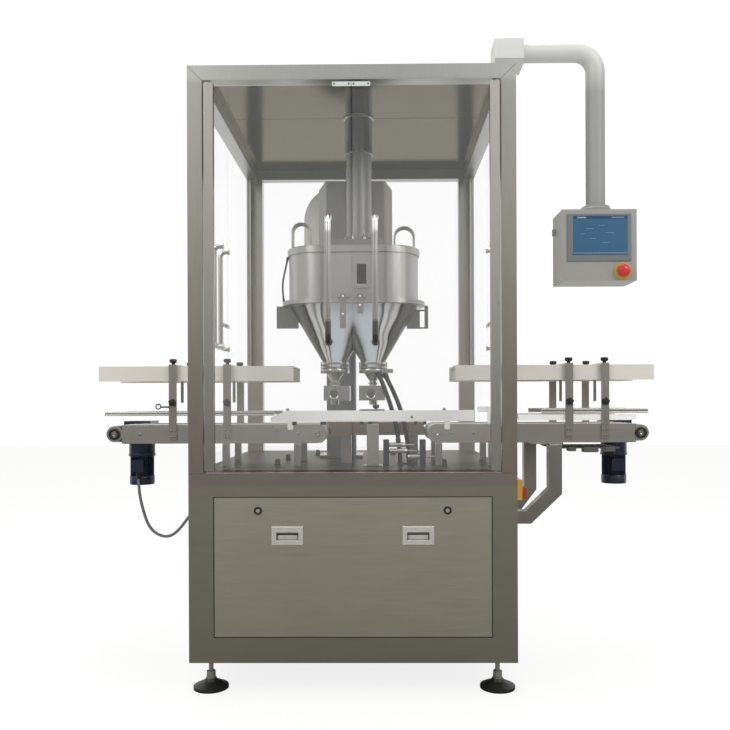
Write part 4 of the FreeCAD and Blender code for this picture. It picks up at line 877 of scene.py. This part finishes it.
def clamps(shape):
    for x in (HEAD_X - OUTLET, HEAD_X + OUTLET):
        turned(shape, [(48, 0), (51.5, 1), (51.5, 9), (48, 10)], (x, HEAD_Y, CLAMP_LOW + 16), UPWARD, 56)
        turned(shape, [(48, 0), (53.5, 2), (53.5, 8), (48, 10)], (x, HEAD_Y, CLAMP_LOW + 1), UPWARD, 56)
        turned(shape, [(14, 0), (19, 1), (19, 7), (14, 8)], (x, HEAD_Y, SEAL_LOW), UPWARD, 40)
        for step in range(6):
            turn = math.radians(60 * step + 240)
            lug_x, lug_y = x + 52 * math.cos(turn), HEAD_Y + 52 * math.sin(turn)
            block(shape, (lug_x - 3, lug_y - 3, CLAMP_LOW), (lug_x + 3, lug_y + 3, CLAMP_LOW + 28), 1.2)
        block(shape, (x - 9, HEAD_Y - 62, CLAMP_LOW), (x + 9, HEAD_Y - 50, CLAMP_LOW + 10), 2)


# dark discs in the port openings, coloured with the painted shade
def port_shade_discs(shape):
    profile = [(0, 2.2), (5, 2.2), (6, 1.4), (12.5, 1.0), (15.8, 0.2), (15.8, -1), (0, -1)]
    for x in PORTS_X:
        turned(shape, profile, (x, PORT_Y, PORT_Z), OUTWARD, 40)


def port_rings(shape):
    profile = [(15.5, 0), (15.5, 1.5), (17.5, 2.6), (19.5, 2.6), (21, 1.2), (21, 0)]
    for x in PORTS_X:
        turned(shape, profile, (x, PORT_Y, PORT_Z), OUTWARD, 40)
    for x in (-73, 62):
        for dx, dz in ((-42, -18), (42, -18), (-42, 24), (42, 24)):
            screw_head(shape, x + dx, PORT_Y, PORT_Z + dz, 3)


def rivets(shape, low, high):
    # two on the front of a latch, placed by its box, which is in metres
    profile = [(0, 2.2), (2.6, 1.9), (4.2, 0.8), (4.4, -0.6), (0, -0.6)]
    middle = (low[0] + high[0]) * 500 + ORIGIN_X
    front = low[1] * 1000 + ORIGIN_Y
    for z in (high[2] * 1000 - 12, low[2] * 1000 + (high[2] - low[2]) * 400):
        turned(shape, profile, (middle, front, z), OUTWARD, 20)


mount(smooth(add_mesh("collar_clamps", clamps, spout_steel)), "filling_head")
mount(smooth(add_mesh("port_rings", port_rings, bright_steel)), "filling_head")
mount(smooth(add_mesh("port_shade_discs", port_shade_discs, shade)), "filling_head")
for label in ("left", "right"):
    latch = f"latch_{label}"
    rivet_pair = add_mesh(f"latch_rivets_{label}", rivets, chrome, *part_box(latch))
    mount(smooth(rivet_pair), latch)

# Operator panel. Grey enamelled arm and case, a dark-rimmed touch panel with a
# plain blue page of bars and fields, and a red stop button in a yellow ring.
arm_grey = textured("arm_grey", (0.47, 0.475, 0.455), 0.52, (30, 30, 30), 0.15, contrast=0.04)
# painted light: the arm's top run is lighter, as if lit from above, and the lower arm darker
graded(arm_grey, "Z", 1.6, 2.2, [
    (0.0, (0.34, 0.345, 0.335)), (0.7, (0.36, 0.365, 0.355)), (0.9, (0.70, 0.705, 0.69)),
    (1.0, (0.72, 0.725, 0.71)),
])
case_grey = textured("case_grey", (0.355, 0.35, 0.325), 0.40, (60, 60, 60), 0.3, contrast=0.05)
bezel_grey = textured("bezel_grey", (0.165, 0.185, 0.195), 0.35, (80, 80, 80), 0.0)
dress(arm_grey, "hmi_arm")
dress(case_grey, "hmi_case")
dress(bezel_grey, "touch_panel")
soften(2.0, "hmi_case", "touch_panel")
CASE_FRONT = -20
SCREEN = (731.5, 910.5, 1467, 1594)
blue_page = textured(
    "blue_page", (0.036, 0.122, 0.225), 0.25, (6, 6, 9), 0.0, contrast=0.30, cloud=14, cloud_contrast=0.2)
blue_dark = textured("blue_dark", (0.02, 0.07, 0.14), 0.25, (30, 30, 30), 0.0, contrast=0.1)
pale_mark = textured("pale_mark", (0.30, 0.44, 0.54), 0.3, (60, 60, 60), 0.0, contrast=0.1)
FIELDS = ((0.30, 0.66, 26), (0.52, 0.74, 20), (0.68, 0.55, 30), (0.36, 0.40, 18), (0.60, 0.30, 22),
          (0.18, 0.52, 14))


def bar(shape, left, right, low, high, proud, behind, rounding=0.1):
    # a flat field between two distances in front of the case
    block(shape, (left, CASE_FRONT - proud, low), (right, CASE_FRONT - behind, high), rounding)


def page(shape):
    bar(shape, *SCREEN, 4.6, 3, 0.3)


def page_bars(shape):
    left, right, low, high = SCREEN
    bar(shape, left + 1, right - 1, high - 11, high - 1, 4.9, 4)
    bar(shape, left - 3, right + 3, low - 3, low - 1, 4.4, 3.5)


def page_marks(shape):
    left, right, low, high = SCREEN
    bar(shape, left + 13, left + 42, high - 8.5, high - 4.5, 5.1, 4.5)
    bar(shape, right - 52, right - 12, high - 7.5, high - 5.5, 5.1, 4.5)
    bar(shape, left + 2, right - 2, low + 3, low + 4.4, 5.0, 4.5)
    for column, row, wide in FIELDS:
        x, z = left + column * (right - left), low + row * (high - low)
        bar(shape, x - wide / 2, x + wide / 2, z, z + 0.9, 4.9, 4.5)


mount(add_mesh("display_page", page, blue_page), "hmi_case")
mount(add_mesh("display_bars", page_bars, blue_dark), "hmi_case")
mount(add_mesh("display_marks", page_marks, pale_mark), "hmi_case")

STOP = (894.5, CASE_FRONT, 1411)
ARM_Y, CASE_PIVOT, POST_PIVOT = 47, (825, 1619), (528, 2188)
red_plastic = textured("red_plastic", (0.60, 0.035, 0.03), 0.3, (90, 90, 90), 0.0, contrast=0.05)
yellow_ring = textured("yellow_ring", (0.46, 0.34, 0.05), 0.4, (90, 90, 90), 0.0, contrast=0.08)


def stop_cap(shape):
    turned(shape, [
        (0, 26), (9, 25.6), (16, 23.6), (20, 20), (21.5, 16), (21, 13), (17, 12), (12, 11), (8, 9),
        (8, -6), (0, -6),
    ], STOP, OUTWARD, 56)


def stop_plate(shape):
    turned(shape, [(9, 2), (9, 3.2), (27.5, 3.2), (29, 2.4), (29, 2)], STOP, OUTWARD, 56)


def arm_collars(shape):
    collar = [(33, 0), (50, 0), (51, 3), (51, 9), (46, 14), (38, 22), (33, 23)]
    cap = [(0, 12), (26, 12), (34, 9), (37, 4), (37, 0), (0, 0)]
    turned(shape, collar, (CASE_PIVOT[0], ARM_Y, CASE_PIVOT[1]), UPWARD, 48)
    turned(shape, cap, (POST_PIVOT[0], ARM_Y, POST_PIVOT[1]), UPWARD, 40)


stop_head = mount(smooth(add_mesh("stop_head", stop_cap, red_plastic), 60), "estop_button")
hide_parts("estop_button")
mount(smooth(add_mesh("stop_ring", stop_plate, yellow_ring)), "hmi_case")
mount(smooth(add_mesh("arm_collars", arm_collars, arm_grey)), "hmi_arm")

# Isolator. Orange enamelled box low on the cabinet, with a glossy red handle
# that turns on its lid.
dress(textured("isolator_orange", (0.72, 0.36, 0.04), 0.35, (90, 90, 90), 0.0), "isolator_box")
dress(textured("handle_red", (0.42, 0.05, 0.015), 0.32, (90, 90, 90), 0.0, contrast=0.05), "isolator_knob")
soften(2.0, "isolator_box")

# Table fittings. Sensor blocks and hose grommets in black, gate cylinders on
# black brackets by the bed's front post, and a tray under the outfeed belt,
# dark with painted shade.
BED_FRONT, BED_TOP, GATE_Y = 268, 898, 300


def gate_cylinders(shape):
    for x, z in ((128, 800), (196, 778), (122, 822)):
        turned(shape, [(0, 0), (8, 0), (9, 2), (9, 62), (8, 64), (0, 64)], (x, GATE_Y, z), (1, 0, 0), 28)
        turned(shape, [(0, 0), (3, 0), (3, 34), (0, 34)], (x + 64, GATE_Y, z), (1, 0, 0), 16)


def gate_brackets(shape):
    for x in (104, 240):
        block(shape, (x, GATE_Y - 12, TABLE), (x + 22, GATE_Y + 18, TABLE + 97), 2)
    for x, z in ((122, 790), (168, 812), (214, 768), (150, 832)):
        block(shape, (x, GATE_Y - 6, z), (x + 18, GATE_Y + 10, z + 15), 3)


def bed_blocks(shape):
    for x, size in ((-128, 22), (-232, 16), (18, 14), (48, 14), (218, 12), (252, 12)):
        block(shape, (x, BED_FRONT, BED_TOP), (x + size, BED_FRONT + 12, BED_TOP + 12), 1.5)
    boot = [(0, 0), (13, 0), (13, 3), (10, 5), (9, 20), (7, 24), (0, 24)]
    for x, y in ((-294, 325), (-285, 578), (-186, 860), (151, 880), (330, 290)):
        turned(shape, boot, (x, y, TABLE), UPWARD, 24)
    grommet = [(8.8, 0), (16, 0), (16, 3), (11, 7), (8.8, 7)]
    for route in HOSES.values():
        turned(shape, grommet, (*route[-1][:2], TABLE), UPWARD, 32)


def bar_screws(shape):
    stud = [(0, 0), (7, 0), (7, 5), (4.5, 7), (4.5, 9), (0, 9)]
    for x in (-250, 330):
        turned(shape, stud, (x, BAR_Y, BAR_TOP), UPWARD, 18)
    screw_head(shape, 210, BAR_Y - 6, BAR_TOP - 25, 4)
    block(shape, (16, BAR_Y - 9, BAR_TOP), (110, BAR_Y + 9, BAR_TOP + 5), 1.2)


def bed_post(shape):
    block(shape, (43, BED_FRONT - 6, TABLE), (88, BED_FRONT, BED_TOP + 2), 1.5)
    block(shape, (28, BED_FRONT - 6, TABLE), (103, BED_FRONT + 32, TABLE + 5), 1.5)


def belt_tray(shape):
    # folded tray and hangers under the outfeed belt, up to the drive, dark with painted shade
    block(shape, (735, 300, 806), (985, 520, 811), 2)
    for start, end, drop in ((742, 768, 800), (792, 822, 796), (848, 905, 792), (930, 968, 794)):
        block(shape, (start, 296, drop), (end, 330, 812), 3)


mount(add_mesh("gate_brackets", gate_brackets, black_plastic), "machine")
mount(add_mesh("bed_post", bed_post, line_steel), "machine")
mount(add_mesh("belt_tray", belt_tray, shade), "machine")
mount(smooth(add_mesh("gate_cylinders", gate_cylinders, bright_steel)), "machine")
mount(add_mesh("sensor_blocks", bed_blocks, black_plastic), "machine")
mount(add_mesh("bar_screws", bar_screws, bright_steel), "machine")


# Table trim. A bright flat strip runs along the worktop's front edge, between
# the two front posts.
def table_trim(shape):
    block(shape, (-HALF_WIDTH + 52, 6, TABLE), (HALF_WIDTH - 52, 9, TABLE + 1.2), 0.4)


mount(add_mesh("table_trim", table_trim, chrome), "machine")


# Strain reliefs. Tapered rubber sleeves where the drive lead leaves its terminal
# box and enters the cabinet, and at the ends of the hoses and the thin cable.
def sleeves(shape, exits):
    for place, toward, radius, length in exits:
        turned(shape, [
            (0, 0), (radius * 1.7, 0), (radius * 1.7, length * 0.15), (radius * 1.45, length * 0.22),
            (radius * 1.12, length), (0, length),
        ], place, Vector(toward).normalized(), 28)


RELIEFS = {
    "machine": [((-893, 553, 702), (0, 0, -1), 6, 30), ((-HALF_WIDTH, 559, 604), (-1, 0, 0), 6, 30)],
    "filling_head": [
        ((86, 361, 1094), (0.39, -0.08, -0.92), 8.5, 26), ((108, 376, 1094), (0.48, 0, -0.88), 8.5, 26),
        ((-260.5, 396, 1540), (-0.22, -0.09, -0.97), 3.5, 20),
        ((-276, 394, 1366), (-0.13, -0.1, 0.98), 3.5, 20),
    ],
}
for body, exits in RELIEFS.items():
    relief = add_mesh(f"strain_reliefs_{body}", sleeves, black_plastic, exits)
    mount(smooth(relief), body)
